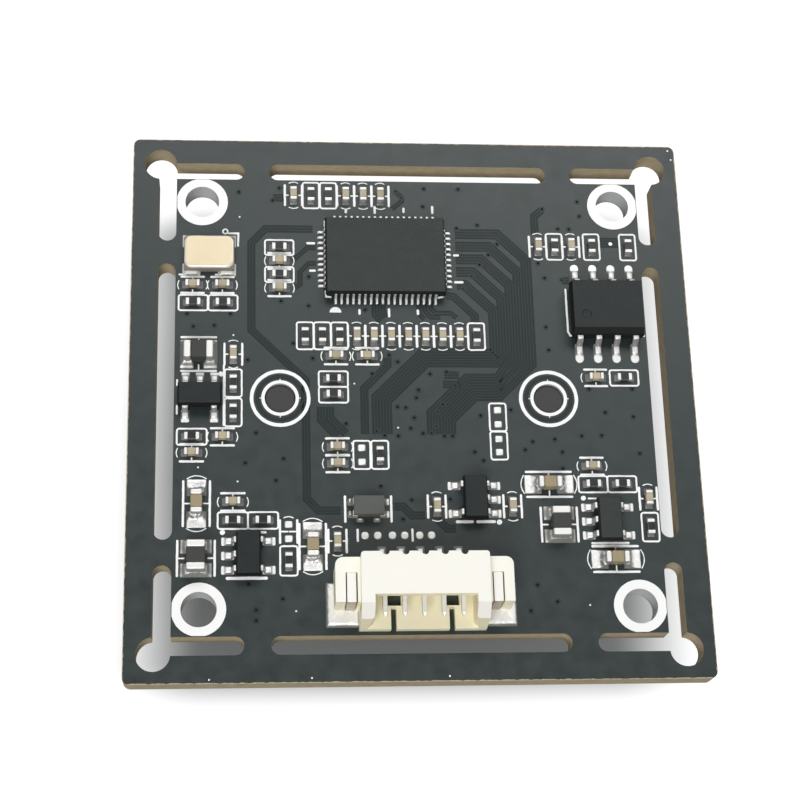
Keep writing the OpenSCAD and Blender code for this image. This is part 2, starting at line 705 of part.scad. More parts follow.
// A glass element: a disc with a flat rim and a dome or a bowl on each side.
// Curves over 0 bulge outwards, under 0 are hollow.
function sag(radius, clear_r) = radius - sqrt(radius * radius - clear_r * clear_r);
module element(r, z0, h, rim, curves) {
    clear_r = r - rim;
    front_radius = curves[0];
    rear_radius = curves[1];
    difference() {
        union() {
            translate([0, 0, z0]) cylinder(r = r, h = h);
            if (front_radius > 0)
                intersection() {
                    translate([0, 0, z0 - sag(front_radius, clear_r) + front_radius])
                        sphere(r = front_radius);
                    translate([0, 0, z0 - front_radius])
                        cylinder(r = clear_r, h = front_radius + h / 2);
                }
            if (rear_radius > 0)
                intersection() {
                    translate([0, 0, z0 + h + sag(rear_radius, clear_r) - rear_radius])
                        sphere(r = rear_radius);
                    translate([0, 0, z0 + h / 2])
                        cylinder(r = clear_r, h = rear_radius + h / 2);
                }
        }
        if (rear_radius < 0)
            translate([0, 0, z0 + h - sag(-rear_radius, clear_r) - rear_radius])
                sphere(r = -rear_radius);
    }
}

module front_lens() color([0.6, 0.75, 0.9, 0.4])
    element(front_glass_d / 2, front_seat, front_edge_h, front_rim, front_curves);

module middle_lens() color([0.6, 0.75, 0.9, 0.4])
    element(inner_glass_d / 2, shoulder + stop_h, middle_edge_h, middle_rim, middle_curves);

module rear_lens() color([0.6, 0.75, 0.9, 0.4])
    element(inner_glass_d / 2, rear_stop - rear_edge_h, rear_edge_h, rear_rim, rear_curves);

// The aperture stop is the front spacer tube, with a thin pierced wall across it
module aperture_stop() color([0.1, 0.1, 0.1]) translate([0, 0, shoulder]) difference() {
    tube_r = inner_glass_d / 2 - spacer_wall;
    cylinder(r = inner_glass_d / 2, h = stop_h);
    translate([0, 0, -eps]) cylinder(r1 = tube_r, r2 = stop_r + eps, h = stop_h * 0.45 + eps);
    translate([0, 0, -eps]) cylinder(r = stop_r, h = stop_h + 2 * eps);
    translate([0, 0, stop_h * 0.55]) cylinder(r = tube_r, h = stop_h);
}

module rear_spacer() color([0.1, 0.1, 0.1]) {
    z0 = shoulder + stop_h + middle_edge_h;
    translate([0, 0, z0]) difference() {
        cylinder(r = inner_glass_d / 2, h = rear_stop - rear_edge_h - z0);
        translate([0, 0, -eps])
            cylinder(r = inner_glass_d / 2 - spacer_wall, h = rear_stop - rear_edge_h - z0 + 2 * eps);
    }
}

module lens_retaining_ring() color([0.12, 0.12, 0.12]) translate([0, 0, hood_h]) difference() {
    cylinder(d = front_glass_d, h = ring_h);
    translate([0, 0, -eps]) cylinder(d = front_glass_d - 2 * ring_w, h = ring_h + 2 * eps);
    // two spanner slots
    translate([0, 0, -eps]) block(3 * front_bore_r, spanner_w, spanner_h + eps);
}

module infrared_filter() color([0.7, 0.85, 0.9, 0.5])
    translate([0, 0, lens_len - filter_t]) cylinder(r = filter_r, h = filter_t);

module lens_barrel() color([0.1, 0.1, 0.11]) difference() {
    head_r = lens_head_d / 2;
    thread_r = lens_thread_d / 2;
    neck_end = lens_head_h + neck_h;
    c = barrel_chamfer;
    rotate_extrude() polygon([
        [0, 0], [head_r - c, 0], [head_r, c], [head_r, lens_head_h - c], [head_r - c, lens_head_h],
        [thread_r - neck_depth, lens_head_h], [thread_r - neck_depth, neck_end],
        [thread_r, neck_end + neck_depth], [thread_r, lens_len - c], [thread_r - c, lens_len],
        [0, lens_len]
    ]);
    translate([0, 0, -eps])
        cylinder(r1 = hood_d / 2 + hood_flare, r2 = front_bore_r, h = hood_h + eps);
    cylinder(r = front_bore_r, h = shoulder);
    cylinder(r = inner_bore_r, h = rear_stop);
    cylinder(r = inner_bore_r - seat_w, h = lens_len);
    translate([0, 0, lens_len - filter_t]) cylinder(r = filter_r + filter_clear, h = filter_t + eps);
}

circuit_board();
corner_hole_plating();
peg_hole_plating();
image_processor();
image_processor_leads();
flash_memory();
flash_memory_leads();
crystal_base();
crystal_lid();
core_regulator();
core_regulator_leads();
sensor_regulator();
sensor_regulator_leads();
video_driver();
video_driver_leads();
input_regulator();
input_regulator_leads();
power_inductors();
power_inductor_ends();
line_choke();
line_choke_ends();
bulk_capacitors();
bulk_capacitor_ends();
small_capacitors();
small_capacitor_ends();
small_resistors();
resistor_coats();
small_resistor_ends();
connector_housing();
connector_pins();
connector_solder_tabs();
image_sensor();
sensor_die();
sensor_cover_glass();
lens_holder();
lens_barrel();
lens_retaining_ring();
front_lens();
middle_lens();
rear_lens();
aperture_stop();
rear_spacer();
infrared_filter();
focus_glue();
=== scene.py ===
# Board camera module: a dark circuit board full of small parts, with a lens and its holder under it.
# The file follows the module as it is put together: board, copper, legend, pads, chips, connector, lens.
import math
import random

import bmesh
import bpy
from mathutils import Matrix, Vector, noise


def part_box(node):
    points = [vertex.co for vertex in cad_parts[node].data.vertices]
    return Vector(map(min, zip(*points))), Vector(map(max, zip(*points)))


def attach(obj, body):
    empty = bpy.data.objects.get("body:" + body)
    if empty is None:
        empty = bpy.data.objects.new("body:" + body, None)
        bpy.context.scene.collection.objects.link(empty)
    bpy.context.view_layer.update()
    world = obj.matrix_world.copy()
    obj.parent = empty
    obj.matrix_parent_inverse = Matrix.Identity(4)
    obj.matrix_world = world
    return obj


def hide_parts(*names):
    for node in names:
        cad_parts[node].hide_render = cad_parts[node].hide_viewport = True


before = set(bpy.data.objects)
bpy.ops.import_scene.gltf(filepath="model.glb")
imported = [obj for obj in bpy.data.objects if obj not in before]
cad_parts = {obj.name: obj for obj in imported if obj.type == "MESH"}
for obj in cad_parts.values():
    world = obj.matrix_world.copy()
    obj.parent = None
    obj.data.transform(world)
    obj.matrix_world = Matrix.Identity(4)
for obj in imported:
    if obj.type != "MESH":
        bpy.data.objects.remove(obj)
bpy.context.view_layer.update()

# ---- Camera -----------------------------------------------------------------------------------
# It looks down on the component side from above the connector's edge, a little to the left.
MM = 0.001
board_low, board_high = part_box("circuit_board")
TOP = board_high.z
BOTTOM = board_low.z
CAMERA_AT = (-11.8 * MM, -40.4 * MM, TOP + 114.6 * MM)
CAMERA_TURNS = (("X", 19.37), ("Y", -5.07), ("Z", 0.12))
camera = bpy.data.objects.new("camera", bpy.data.cameras.new("camera"))
camera.data.lens = 82.3
camera.data.clip_start = 0.01
aim = Matrix.Identity(4)
for axis, degrees in CAMERA_TURNS:
    aim = aim @ Matrix.Rotation(math.radians(degrees), 4, axis)
camera.matrix_world = Matrix.Translation(CAMERA_AT) @ aim
bpy.context.scene.collection.objects.link(camera)
bpy.context.scene.camera = camera

# ---- Floor and light --------------------------------------------------------------------------
# A pale floor under two broad soft panels: one behind the module, like a window, and a stronger one
# in front of it on the left. The room round them is pale, and darker on the camera's side.
scene = bpy.context.scene
scene.view_settings.view_transform = "Standard"


def add_node(tree, kind, mode=None, first=None, second=None, **values):
    """A shader node. Mode is its operation, its interpolation or its data type. Its first two sockets
    and those named take a constant or another node's output."""
    made = tree.nodes.new(kind)
    if mode and kind == "ShaderNodeMapRange":
        made.interpolation_type = mode
    elif mode and kind == "ShaderNodeMix":
        made.data_type = mode
    elif mode:
        made.operation = mode
    given = {socket.replace("_", " "): value for socket, value in values.items()}
    given.update({k: value for k, value in enumerate((first, second)) if value is not None})
    for socket, value in given.items():
        if isinstance(value, bpy.types.NodeSocket):
            tree.links.new(value, made.inputs[socket])
        else:
            made.inputs[socket].default_value = value
    return made


world = bpy.data.worlds.new("room")
scene.world = world
world.use_nodes = True
room = world.node_tree
room.nodes.clear()
room_way = add_node(room, "ShaderNodeTexCoord").outputs["Generated"]
room_split = add_node(room, "ShaderNodeSeparateXYZ", None, room_way)
room_shade = add_node(room, "ShaderNodeMapRange", None, room_split.outputs["Y"],
                      From_Min=0.0, From_Max=0.6, To_Min=0.085, To_Max=0.32)
room_light = add_node(room, "ShaderNodeBackground", None, (0.96, 0.98, 1.0, 1), room_shade.outputs["Result"])
room_seen = add_node(room, "ShaderNodeBackground", None, (1, 1, 1, 1))
room_path = add_node(room, "ShaderNodeLightPath").outputs["Is Camera Ray"]
room_mix = add_node(room, "ShaderNodeMixShader", None, room_path, room_light.outputs[0])
room.links.new(room_seen.outputs[0], room_mix.inputs[2])
add_node(room, "ShaderNodeOutputWorld", Surface=room_mix.outputs[0])


def panel(name, place, size, power):
    """A soft lamp, aimed at the module."""
    data = bpy.data.lights.new(name, "AREA")
    data.shape = "RECTANGLE"
    data.size, data.size_y = size
    data.energy = power
    obj = bpy.data.objects.new(name, data)
    obj.location = place
    obj.rotation_euler = (Vector((0, 0, TOP)) - Vector(place)).to_track_quat("-Z", "Y").to_euler()
    scene.collection.objects.link(obj)


panel("window", (0.07, 0.30, 0.385), (0.50, 0.20), 1.1)
panel("front", (-0.10, -0.30, 0.38), (0.30, 0.30), 1.9)

FLOOR_HALF = 1.5
floor_mesh = bpy.data.meshes.new("floor")
floor_corners = [(x * FLOOR_HALF, y * FLOOR_HALF, 0) for x, y in ((-1, -1), (1, -1), (1, 1), (-1, 1))]
floor_mesh.from_pydata(floor_corners, [], [(0, 1, 2, 3)])
floor = bpy.data.objects.new("floor", floor_mesh)
scene.collection.objects.link(floor)
# The paint is grey where it shows through the slots and holes. Past the module's edge it has a painted glow,
# seen by the camera alone, which grows over a few millimetres so that it reads as white there. The glow is
# shaped round the module, so the dark floor under it is partly its cast shadow and partly painted shadow,
# where the glow stops.
GLOW_MIDDLE = (0.0007, 0.0024, 0)
GLOW_FROM = (0.0149, 0.0164, 0)
GLOW_WIDTH = (0.0083, 0.0042, 1)
floor_paint_and_painted_glow = bpy.data.materials.new("floor_paint_and_painted_glow")
floor_paint_and_painted_glow.use_nodes = True
floor_tree = floor_paint_and_painted_glow.node_tree
paint = floor_tree.nodes["Principled BSDF"]
paint.inputs["Base Color"].default_value = (0.21, 0.214, 0.214, 1)
paint.inputs["Roughness"].default_value = 0.8
paint.inputs["Specular IOR Level"].default_value = 0.1
paint.inputs["Emission Color"].default_value = (1, 1, 1, 1)
glow = add_node(floor_tree, "ShaderNodeTexCoord").outputs["Object"]
for mode, amount in (
    ("SUBTRACT", GLOW_MIDDLE),
    ("ABSOLUTE", None),
    ("SUBTRACT", GLOW_FROM),
    ("MAXIMUM", None),
    ("DIVIDE", GLOW_WIDTH),
    ("LENGTH", None),
):
    glow_node = add_node(floor_tree, "ShaderNodeVectorMath", mode, glow, amount)
    glow = glow_node.outputs["Value" if mode == "LENGTH" else "Vector"]
painted_glow_fade = add_node(floor_tree, "ShaderNodeMapRange", "SMOOTHSTEP", glow, To_Max=0.95).outputs["Result"]
seen_by_camera = add_node(floor_tree, "ShaderNodeLightPath").outputs["Is Camera Ray"]
painted_glow_gain = add_node(floor_tree, "ShaderNodeMath", "MULTIPLY", painted_glow_fade, seen_by_camera)
floor_tree.links.new(painted_glow_gain.outputs[0], paint.inputs["Emission Strength"])
floor_mesh.materials.append(floor_paint_and_painted_glow)

# ---- Circuit board ----------------------------------------------------------------------------
# Glass-epoxy laminate under a nearly black solder mask. It is routed to shape, so its outer edges
# and the walls of its slots show the bare tan laminate, and the mask ends in a slightly chipped line.

# The grain of every finish: a colour and a gloss that wander between two values, and a fine height
mottle = bpy.data.node_groups.new("mottle", "ShaderNodeTree")
for name, kind, value in (
    ("Colour", "NodeSocketColor", (0.5, 0.5, 0.5, 1)),
    ("Second Colour", "NodeSocketColor", (0.5, 0.5, 0.5, 1)),
    ("Scale", "NodeSocketFloat", 1000.0),
    ("Roughness Low", "NodeSocketFloat", 0.4),
    ("Roughness High", "NodeSocketFloat", 0.6),
):
    mottle.interface.new_socket(name, in_out="INPUT", socket_type=kind).default_value = value
mottle.interface.new_socket("Colour", in_out="OUTPUT", socket_type="NodeSocketColor")
mottle.interface.new_socket("Roughness", in_out="OUTPUT", socket_type="NodeSocketFloat")
mottle.interface.new_socket("Height", in_out="OUTPUT", socket_type="NodeSocketFloat")
m_in = mottle.nodes.new("NodeGroupInput")
m_out = mottle.nodes.new("NodeGroupOutput")
m_scale = m_in.outputs["Scale"]
m_place = add_node(mottle, "ShaderNodeTexCoord").outputs["Object"]
m_fine = add_node(mottle, "ShaderNodeTexNoise", None, m_place, Scale=m_scale, Detail=4, Roughness=0.6)
m_less = add_node(mottle, "ShaderNodeMath", "MULTIPLY", m_scale, 0.18)
m_wide = add_node(mottle, "ShaderNodeTexNoise", None, m_place, Scale=m_less.outputs[0], Detail=2)
m_colour = add_node(mottle, "ShaderNodeMix", "RGBA", m_wide.outputs["Fac"],
                    A=m_in.outputs["Colour"], B=m_in.outputs["Second Colour"])
m_rough = add_node(mottle, "ShaderNodeMapRange", None, m_wide.outputs["Fac"], From_Min=0.3, From_Max=0.7,
                   To_Min=m_in.outputs["Roughness Low"], To_Max=m_in.outputs["Roughness High"])
mottle.links.new(m_colour.outputs["Result"], m_out.inputs["Colour"])
mottle.links.new(m_rough.outputs["Result"], m_out.inputs["Roughness"])
mottle.links.new(m_fine.outputs["Fac"], m_out.inputs["Height"])


def grain(tree, colour, second, roughness, scale):
    """The mottle group in a material, with its two colours and the two ends of its roughness."""
    group = tree.nodes.new("ShaderNodeGroup")
    group.node_tree = mottle
    group.inputs["Colour"].default_value = (*colour, 1)
    group.inputs["Second Colour"].default_value = (*second, 1)
    group.inputs["Scale"].default_value = scale
    group.inputs["Roughness Low"].default_value = roughness[0]
    group.inputs["Roughness High"].default_value = roughness[1]
    return group


def finish(name, colour, second, roughness, scale, bump, **fixed):
    """A material whose colour and gloss wander between two values, with a fine bump in metres.
    The fixed values go on the shader's own sockets."""
    material = bpy.data.materials.new(name)
    material.use_nodes = True
    tree = material.node_tree
    shader = tree.nodes["Principled BSDF"]
    group = grain(tree, colour, second, roughness, scale)
    relief = add_node(tree, "ShaderNodeBump", Distance=bump, Strength=1.0, Height=group.outputs["Height"])
    tree.links.new(group.outputs["Colour"], shader.inputs["Base Color"])
    tree.links.new(group.outputs["Roughness"], shader.inputs["Roughness"])
    tree.links.new(relief.outputs["Normal"], shader.inputs["Normal"])
    for socket, value in fixed.items():
        shader.inputs[socket.replace("_", " ")].default_value = value
    return material


# Tells the level faces of a piece from its upright ones, and keeps a ragged hair clear of a limit
# on X and Y
RAGGED = 0.00018
level_faces = bpy.data.node_groups.new("level_faces", "ShaderNodeTree")
for name, value in (("Limit", 1.0), ("Steep", 0.49), ("Flat", 0.51), ("Low", -2.0), ("High", -1.0)):
    socket = level_faces.interface.new_socket(name, in_out="INPUT", socket_type="NodeSocketFloat")
    socket.default_value = value
level_faces.interface.new_socket("Level", in_out="OUTPUT", socket_type="NodeSocketFloat")
l_in = level_faces.nodes.new("NodeGroupInput")
l_out = level_faces.nodes.new("NodeGroupOutput")
l_place = add_node(level_faces, "ShaderNodeTexCoord")
l_slope = add_node(level_faces, "ShaderNodeVectorMath", "ABSOLUTE", l_place.outputs["Normal"])
l_parts = add_node(level_faces, "ShaderNodeSeparateXYZ", None, l_slope.outputs["Vector"])
l_up = add_node(level_faces, "ShaderNodeMapRange", "SMOOTHSTEP", l_parts.outputs["Z"],
                From_Min=l_in.outputs["Steep"], From_Max=l_in.outputs["Flat"])
l_size = add_node(level_faces, "ShaderNodeVectorMath", "ABSOLUTE", l_place.outputs["Object"])
l_at = add_node(level_faces, "ShaderNodeSeparateXYZ", None, l_size.outputs["Vector"])
l_high = add_node(level_faces, "ShaderNodeMapRange", "SMOOTHSTEP", l_at.outputs["Z"],
                  From_Min=l_in.outputs["Low"], From_Max=l_in.outputs["High"])
l_far = add_node(level_faces, "ShaderNodeMath", "MAXIMUM", l_at.outputs["X"], l_at.outputs["Y"])
l_noise = add_node(level_faces, "ShaderNodeTexNoise", None, l_place.outputs["Object"], Scale=2600, Detail=3)
l_ragged = add_node(level_faces, "ShaderNodeMath", "MULTIPLY_ADD", l_noise.outputs["Fac"], RAGGED)
level_faces.links.new(l_far.outputs[0], l_ragged.inputs[2])
l_inside = add_node(level_faces, "ShaderNodeMath", "LESS_THAN", l_ragged.outputs[0], l_in.outputs["Limit"])
l_both = add_node(level_faces, "ShaderNodeMath", "MULTIPLY", l_up.outputs["Result"], l_inside.outputs[0])
l_all = add_node(level_faces, "ShaderNodeMath", "MULTIPLY", l_both.outputs[0], l_high.outputs["Result"])
level_faces.links.new(l_all.outputs[0], l_out.inputs["Level"])


def uprights(material, colour, second, roughness, scale, **choice):
    """Gives the upright faces of a material another colour and gloss. On the board this is the bare laminate
    of its routed edges; on the other parts it is painted shade or a painted highlight, for the way light
    falls on those faces.
    The choice may set how flat a face must be to keep the first one, how high it must lie, and how far out
    on X and Y it may reach."""
    tree = material.node_tree
    shader = tree.nodes["Principled BSDF"]
    first = next(n for n in tree.nodes if n.type == "GROUP")
    other = grain(tree, colour, second, roughness, scale)
    chooser = tree.nodes.new("ShaderNodeGroup")
    chooser.node_tree = level_faces
    for socket, value in choice.items():
        chooser.inputs[socket].default_value = value
    level = chooser.outputs["Level"]
    hue = add_node(tree, "ShaderNodeMix", "RGBA", level,
                   A=other.outputs["Colour"], B=first.outputs["Colour"])
    gloss = add_node(tree, "ShaderNodeMix", "FLOAT", level,
                     A=other.outputs["Roughness"], B=first.outputs["Roughness"])
    tree.links.new(hue.outputs["Result"], shader.inputs["Base Color"])
    tree.links.new(gloss.outputs["Result"], shader.inputs["Roughness"])


def coat(node, material):
    """Gives a CAD node its finish."""
    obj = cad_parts[node]
    for slot in obj.material_slots:
        slot.link = "OBJECT"
        slot.material = material
    return obj


board_skin = finish("board_skin", (0.0150, 0.0245, 0.0232), (0.0270, 0.0400, 0.0383), (0.36, 0.46),
                    5000, 6e-6, Specular_IOR_Level=0.62)
uprights(board_skin, (0.34, 0.28, 0.175), (0.52, 0.44, 0.30), (0.6, 0.85), 9000,
         Limit=board_high.x + 0.04 * MM)
coat("circuit_board", board_skin)

# ---- Plated holes -----------------------------------------------------------------------------
# Tinned copper: a bright, slightly uneven film that runs from face to face through each hole.
# Four take the bolts at the corners, two take the pegs of the lens holder.
PEGS_X = (-9, 9)
tin = finish("tin", (0.98, 0.98, 0.96), (0.95, 0.95, 0.93), (0.3, 0.46), 2600, 8e-6, Metallic=0.05)
# The upright walls inside the holes are painted a darker grey than the level faces: painted shade.
uprights(tin, (0.66, 0.67, 0.67), (0.46, 0.47, 0.47), (0.3, 0.5), 2600)
coat("corner_hole_plating", tin)
coat("peg_hole_plating", tin)

# ---- Copper under the mask --------------------------------------------------------------------
# The board's copper is etched in clear gaps that leave the traces standing. Under the mask a trace
# is a low ridge, and the gap beside it looks darker because the bare laminate takes the light.
def vert(bm, x, y, z, face=TOP):
    """A vertex, in millimetres from the middle of one of the board's faces."""
    return bm.verts.new((x * MM, y * MM, face + z * MM))


def bridge(bm, a, b, closed=True):
    """Faces between two rows of vertices, which may close on themselves."""
    for i in range(len(a) if closed else len(a) - 1):
        j = (i + 1) % len(a)
        bm.faces.new((a[i], a[j], b[j], b[i]))


def circle(bm, x, y, radius, z, sides, face):
    """A ring of vertices, in millimetres."""
    angles = [2 * math.pi * i / sides for i in range(sides)]
    return [vert(bm, x + radius * math.cos(a), y + radius * math.sin(a), z, face) for a in angles]


def spot(bm, x, y, radius, height, face=TOP):
    """A low round boss, in millimetres from the board's middle and one of its faces."""
    slope = min(0.01, radius / 4)
    foot = circle(bm, x, y, radius, 0, 16, face)
    head = circle(bm, x, y, radius - slope, height, 16, face)
    bridge(bm, foot, head)
    bm.faces.new(head)


def band(bm, x, y, inner, outer, height, sides=64, face=TOP):
    """A low flat ring, in millimetres, with a sloped edge inside and outside."""
    slope = abs(height) / 2
    rows = ((outer, 0), (outer - slope, height), (inner + slope, height), (inner, 0))
    loops = [circle(bm, x, y, r, z, sides, face) for r, z in rows]
    for a, b in zip(loops, loops[1:]):
        bridge(bm, a, b)


def beside(points, gap):
    """A path moved to the left of its own direction, with its corners mitred."""
    points = [Vector(p) for p in points]
    ways = [(b - a).normalized() for a, b in zip(points, points[1:])]
    moved = []
    for i, p in enumerate(points):
        before = ways[max(0, i - 1)]
        after = ways[min(i, len(ways) - 1)]
        side = Vector((-before.y - after.y, before.x + after.x)).normalized()
        moved.append(p + side * gap / side.dot(Vector((-before.y, before.x))))
    return moved


def ridge(bm, points, width, height):
    """A low strip along a path, in millimetres, with sloped sides."""
    half = width / 2
    slope = min(width / 5, height)
    rows = []
    for gap, z in ((half, 0), (half - slope, height), (slope - half, height), (-half, 0)):
        rows.append([vert(bm, p.x, p.y, z) for p in beside(points, gap)])
    for a, b in zip(rows, rows[1:]):
        bridge(bm, a, b, False)
    for i in (0, len(points) - 1):
        bm.faces.new([row[i] for row in rows])


def piece(name, bm, material, replaced=(), crease=35):
    """Turns a mesh under work into a piece of the module, smooth except at its creases."""
    bmesh.ops.recalc_face_normals(bm, faces=bm.faces)
    mesh = bpy.data.meshes.new(name)
    bm.to_mesh(mesh)
    bm.free()
    mesh.materials.append(material)
    mesh.polygons.foreach_set("use_smooth", [True] * len(mesh.polygons))
    mesh.set_sharp_from_angle(angle=math.radians(crease))
    obj = bpy.data.objects.new(name, mesh)
    scene.collection.objects.link(obj)
    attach(obj, "root")
    if replaced:
        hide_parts(*replaced)


TRACE_W = 0.11
TRACE_PITCH = 0.2
TRACE_H = 0.016
GAP_H = 0.003
GAP_MARGIN = 0.16
GAP_STEP = 0.0002
# Routes of the bundles: how many traces run side by side to the right of the way they go
ROUTES = [
    (2, [(-6.7, 12.2), (-9.9, 12.2), (-10.8, 11.2), (-10.8, 4.9), (-7.2, 1.3), (-7.2, -6.9), (-6.5, -7.65),
         (-5.1, -7.65)]),
    (1, [(-6.5, 10.9), (-7.1, 10.9), (-8.1, 9.9)]),
    (1, [(-6.5, 9.75), (-7.0, 9.75), (-7.6, 9.1), (-7.6, 8.2), (-8, 7.9)]),
    (2, [(-1.7, 2.9), (-1.7, 2.3), (-3.3, 0.65), (-3.3, -2.5)]),
    (2, [(-6.2, -0.6), (-6.2, -1.5), (-5.2, -2.6)]),
    (2, [(-5.6, -0.6), (-5.6, -1.35), (-4.6, -2.4)]),
    (2, [(-1.6, -7.4), (-0.95, -7.4), (-0.4, -8.0), (0.4, -8.0)]),
    (2, [(2.4, 7.55), (2.9, 7.45), (4.35, 6.0), (4.35, 5.5)]),
    (1, [(1.25, 7), (1.25, 6.5), (1.6, 6.15), (2.6, 6.15), (3.0, 5.8)]),
    (1, [(0.85, 7), (0.85, 6.3), (1.25, 5.85), (1.9, 5.85)]),
    (1, [(0.45, 7), (0.45, 6.1), (0.8, 5.7)]),
    (4, [(-2.0, 7), (-2.0, 6.2), (-1.75, 5.9)]),
    (2, [(8.6, 12.1), (8.6, 13.5), (9.2, 14.0)]),
    (2, [(-8.6, 14.55), (-9.4, 14.55)]),
    (1, [(-0.95, 15.2), (-0.5, 14.8), (-0.5, 14.5), (-1.2, 13.9)]),
    (3, [(13.2, 11.7), (14.6, 11.7)]),
    (2, [(10.4, 8.7), (10.9, 8.7)]),
    (2, [(2.0, 1.75), (3.0, 1.75)]),
    (2, [(1.9, 1.1), (3.1, 1.1)]),
    (2, [(1.3, -8.3), (1.9, -8.9), (2.4, -8.9)]),
]
# The wide bundle on the right of the processor starts in five groups of three
GROUP = 3 * TRACE_PITCH
for g in range(5):
    right = 8.15 - GROUP * g
    row = 12.25 - 0.95 * g
    turn_x = 6.1 - GROUP * g
    route = [(3.1, row), (turn_x, row), (right, row - right + turn_x), (right, 2.4 + GROUP * g * 0.414)]
    if g < 3:
        route += beside([(5.75, 0.0), (4.1, 0.0), (2.5, -1.6), (2.5, -2.5)], -GROUP * g)
    else:
        route += beside([(5.65, 2.4), (0.9, 2.4), (-1.75, -0.25), (-1.75, -2.5)], -GROUP * (g - 3))
    ROUTES.append((3, route))

# Through vias: small tented holes, each in a ring of copper
VIAS = [
    (-11.76, 15.05), (-8.96, 15.4), (-9.44, 14.45), (-7, 8.76), (-7.04, 6.62), (-8.9, 6.96),
    (-14.78, 5.08), (-13.37, 5.17), (-15.2, 6), (-12.3, 6), (-11.14, 2.7), (-1.68, 3.09),
    (-1.1, 2.6), (-2.83, 1.74), (0.24, 0.6), (0.08, 0.04), (-6.8, 2.83), (-8.1, 3.9),
    (-3.22, 6.36), (-0.9, 15.2), (-0.53, 14.76), (1.06, 15.46), (3.45, 15.46), (0.94, 14.09),
    (3.24, 12.47), (4.69, 12.73), (6, 11.3), (5.37, 10.5), (4.73, 9.76), (4.18, 8.92),
    (3.55, 8), (9.3, 14), (10.33, 12.5), (11.1, 12.5), (8.8, 9.9), (9.2, 8.8), (10.4, 8.67),
    (9.09, 5.17), (9.2, 3.5), (11.8, 14.6), (11.9, 13.5), (1.06, 1.74), (2.17, 1.87),
    (11.8, 0.7), (14.76, 0.7), (-10.6, -2.42), (-8.8, -4.2), (-11.3, -4.5), (-9.3, -5.7),
    (-4.65, -1.78), (-2.6, -2.3), (-2.1, -2.6), (-1.2, -0.6), (-0.65, -0.65), (-0.1, -1.36),
    (-0.36, -2.1), (-1.2, -2.64), (-2.45, -6.1), (-0.44, -7.04), (-8.9, -13.6), (-10.6, -14.3),
    (-10.6, -15), (-11.1, -12.6), (-1.04, -8.35), (1.83, -0.4), (1.46, -0.94), (1.33, -1.94),
    (0.46, -2.45), (1.04, -2.42), (1.87, -2.64), (2.42, -2.64), (4.35, -1.2), (6.4, -0.8),
    (3.86, -3.76), (4.42, -4.35), (7.77, -3.03), (7.24, -3.6), (9.27, -2.86), (9.73, -3.76),
    (11.1, -2.64), (12.45, -2.6), (12.8, -0.97), (14.7, -1.27), (14.95, -3.86), (9.7, -4.9),
    (2.1, -7), (7.58, -12.8), (8.83, -13.9), (7.06, -14.5),
]
# These are not tented, so their tin shows
OPEN_VIAS = [
    (-11.7, 13.17), (-12.1, 4.47), (-4.05, 1.04), (-11.8, -5.76), (-14.37, -4.8), (-1.2, -2.06),
    (-8.06, -14.4), (10.95, -14.15), (18.55, 18.67), (18.73, 17.96), (1.65, -18.67),
    (-13.56, -18.75), (-7.1, -18.7),
]
# A via's ring of copper from its inner to its outer radius, and the height of its hole's dark pit: a
# near-black disc with little gloss, which is painted shade for the hole under the mask
# VIA_RING = (0.08, 0.21)
VIA_RING = (0.08, 0.21)
VIA_PIT = 0.014

gaps = bmesh.new()
copper = bmesh.new()
holes = bmesh.new()
for k, (count, route) in enumerate(ROUTES):
    width = TRACE_PITCH * count
    # Each gap lies a hair higher than the last, so that none share a face where they cross
    middle_line = beside(route, -(width - TRACE_PITCH) / 2)
    ridge(gaps, middle_line, width + GAP_MARGIN, GAP_H + k * GAP_STEP)
    for i in range(count):
        ridge(copper, beside(route, -TRACE_PITCH * i), TRACE_W, TRACE_H)
for x, y in VIAS:
    for face, up, pit_r in ((TOP, 1, 0.095), (BOTTOM, -1, 0.105)):
        band(copper, x, y, *VIA_RING, up * TRACE_H * 0.7, 20, face)
        spot(holes, x, y, pit_r, up * VIA_PIT, face)
for x in PEGS_X:
    band(gaps, x, 0, 1.38, 1.64, GAP_H)
    band(copper, x, 0, 1.46, 1.56, TRACE_H)
clearance = finish("mask_on_laminate", (0.010, 0.017, 0.016), (0.014, 0.022, 0.021), (0.45, 0.5), 5000, 3e-6,
                   Specular_IOR_Level=0.34)
over_copper = finish("mask_on_copper", (0.012, 0.022, 0.021), (0.016, 0.027, 0.026), (0.4, 0.46), 5000, 3e-6,
                     Specular_IOR_Level=0.45)
# Near-black and nearly without gloss: painted shade for the via holes.
painted_shade_pit = finish("via_pit_painted_shade", (0.006, 0.007, 0.007), (0.009, 0.010, 0.010), (0.6, 0.8), 5000, 2e-6,
             Specular_IOR_Level=0.06)
piece("copper_gaps", gaps, clearance)
piece("copper_traces", copper, over_copper)
piece("via_holes", holes, painted_shade_pit)

# ---- Printed legend ---------------------------------------------------------------------------
# White ink screened on the mask: outlines round the chips, marks for pin one, and the two rings
# round the peg holes. The ink lies about two hundredths of a millimetre thick, with soft ends.
random.seed(7)
INK_H = 0.018
INK_W = 0.13
INK_STEP = 0.00015
INK_STEPS = 61
INK_WOBBLE = 0.008
ink = bmesh.new()
ink_lines = []


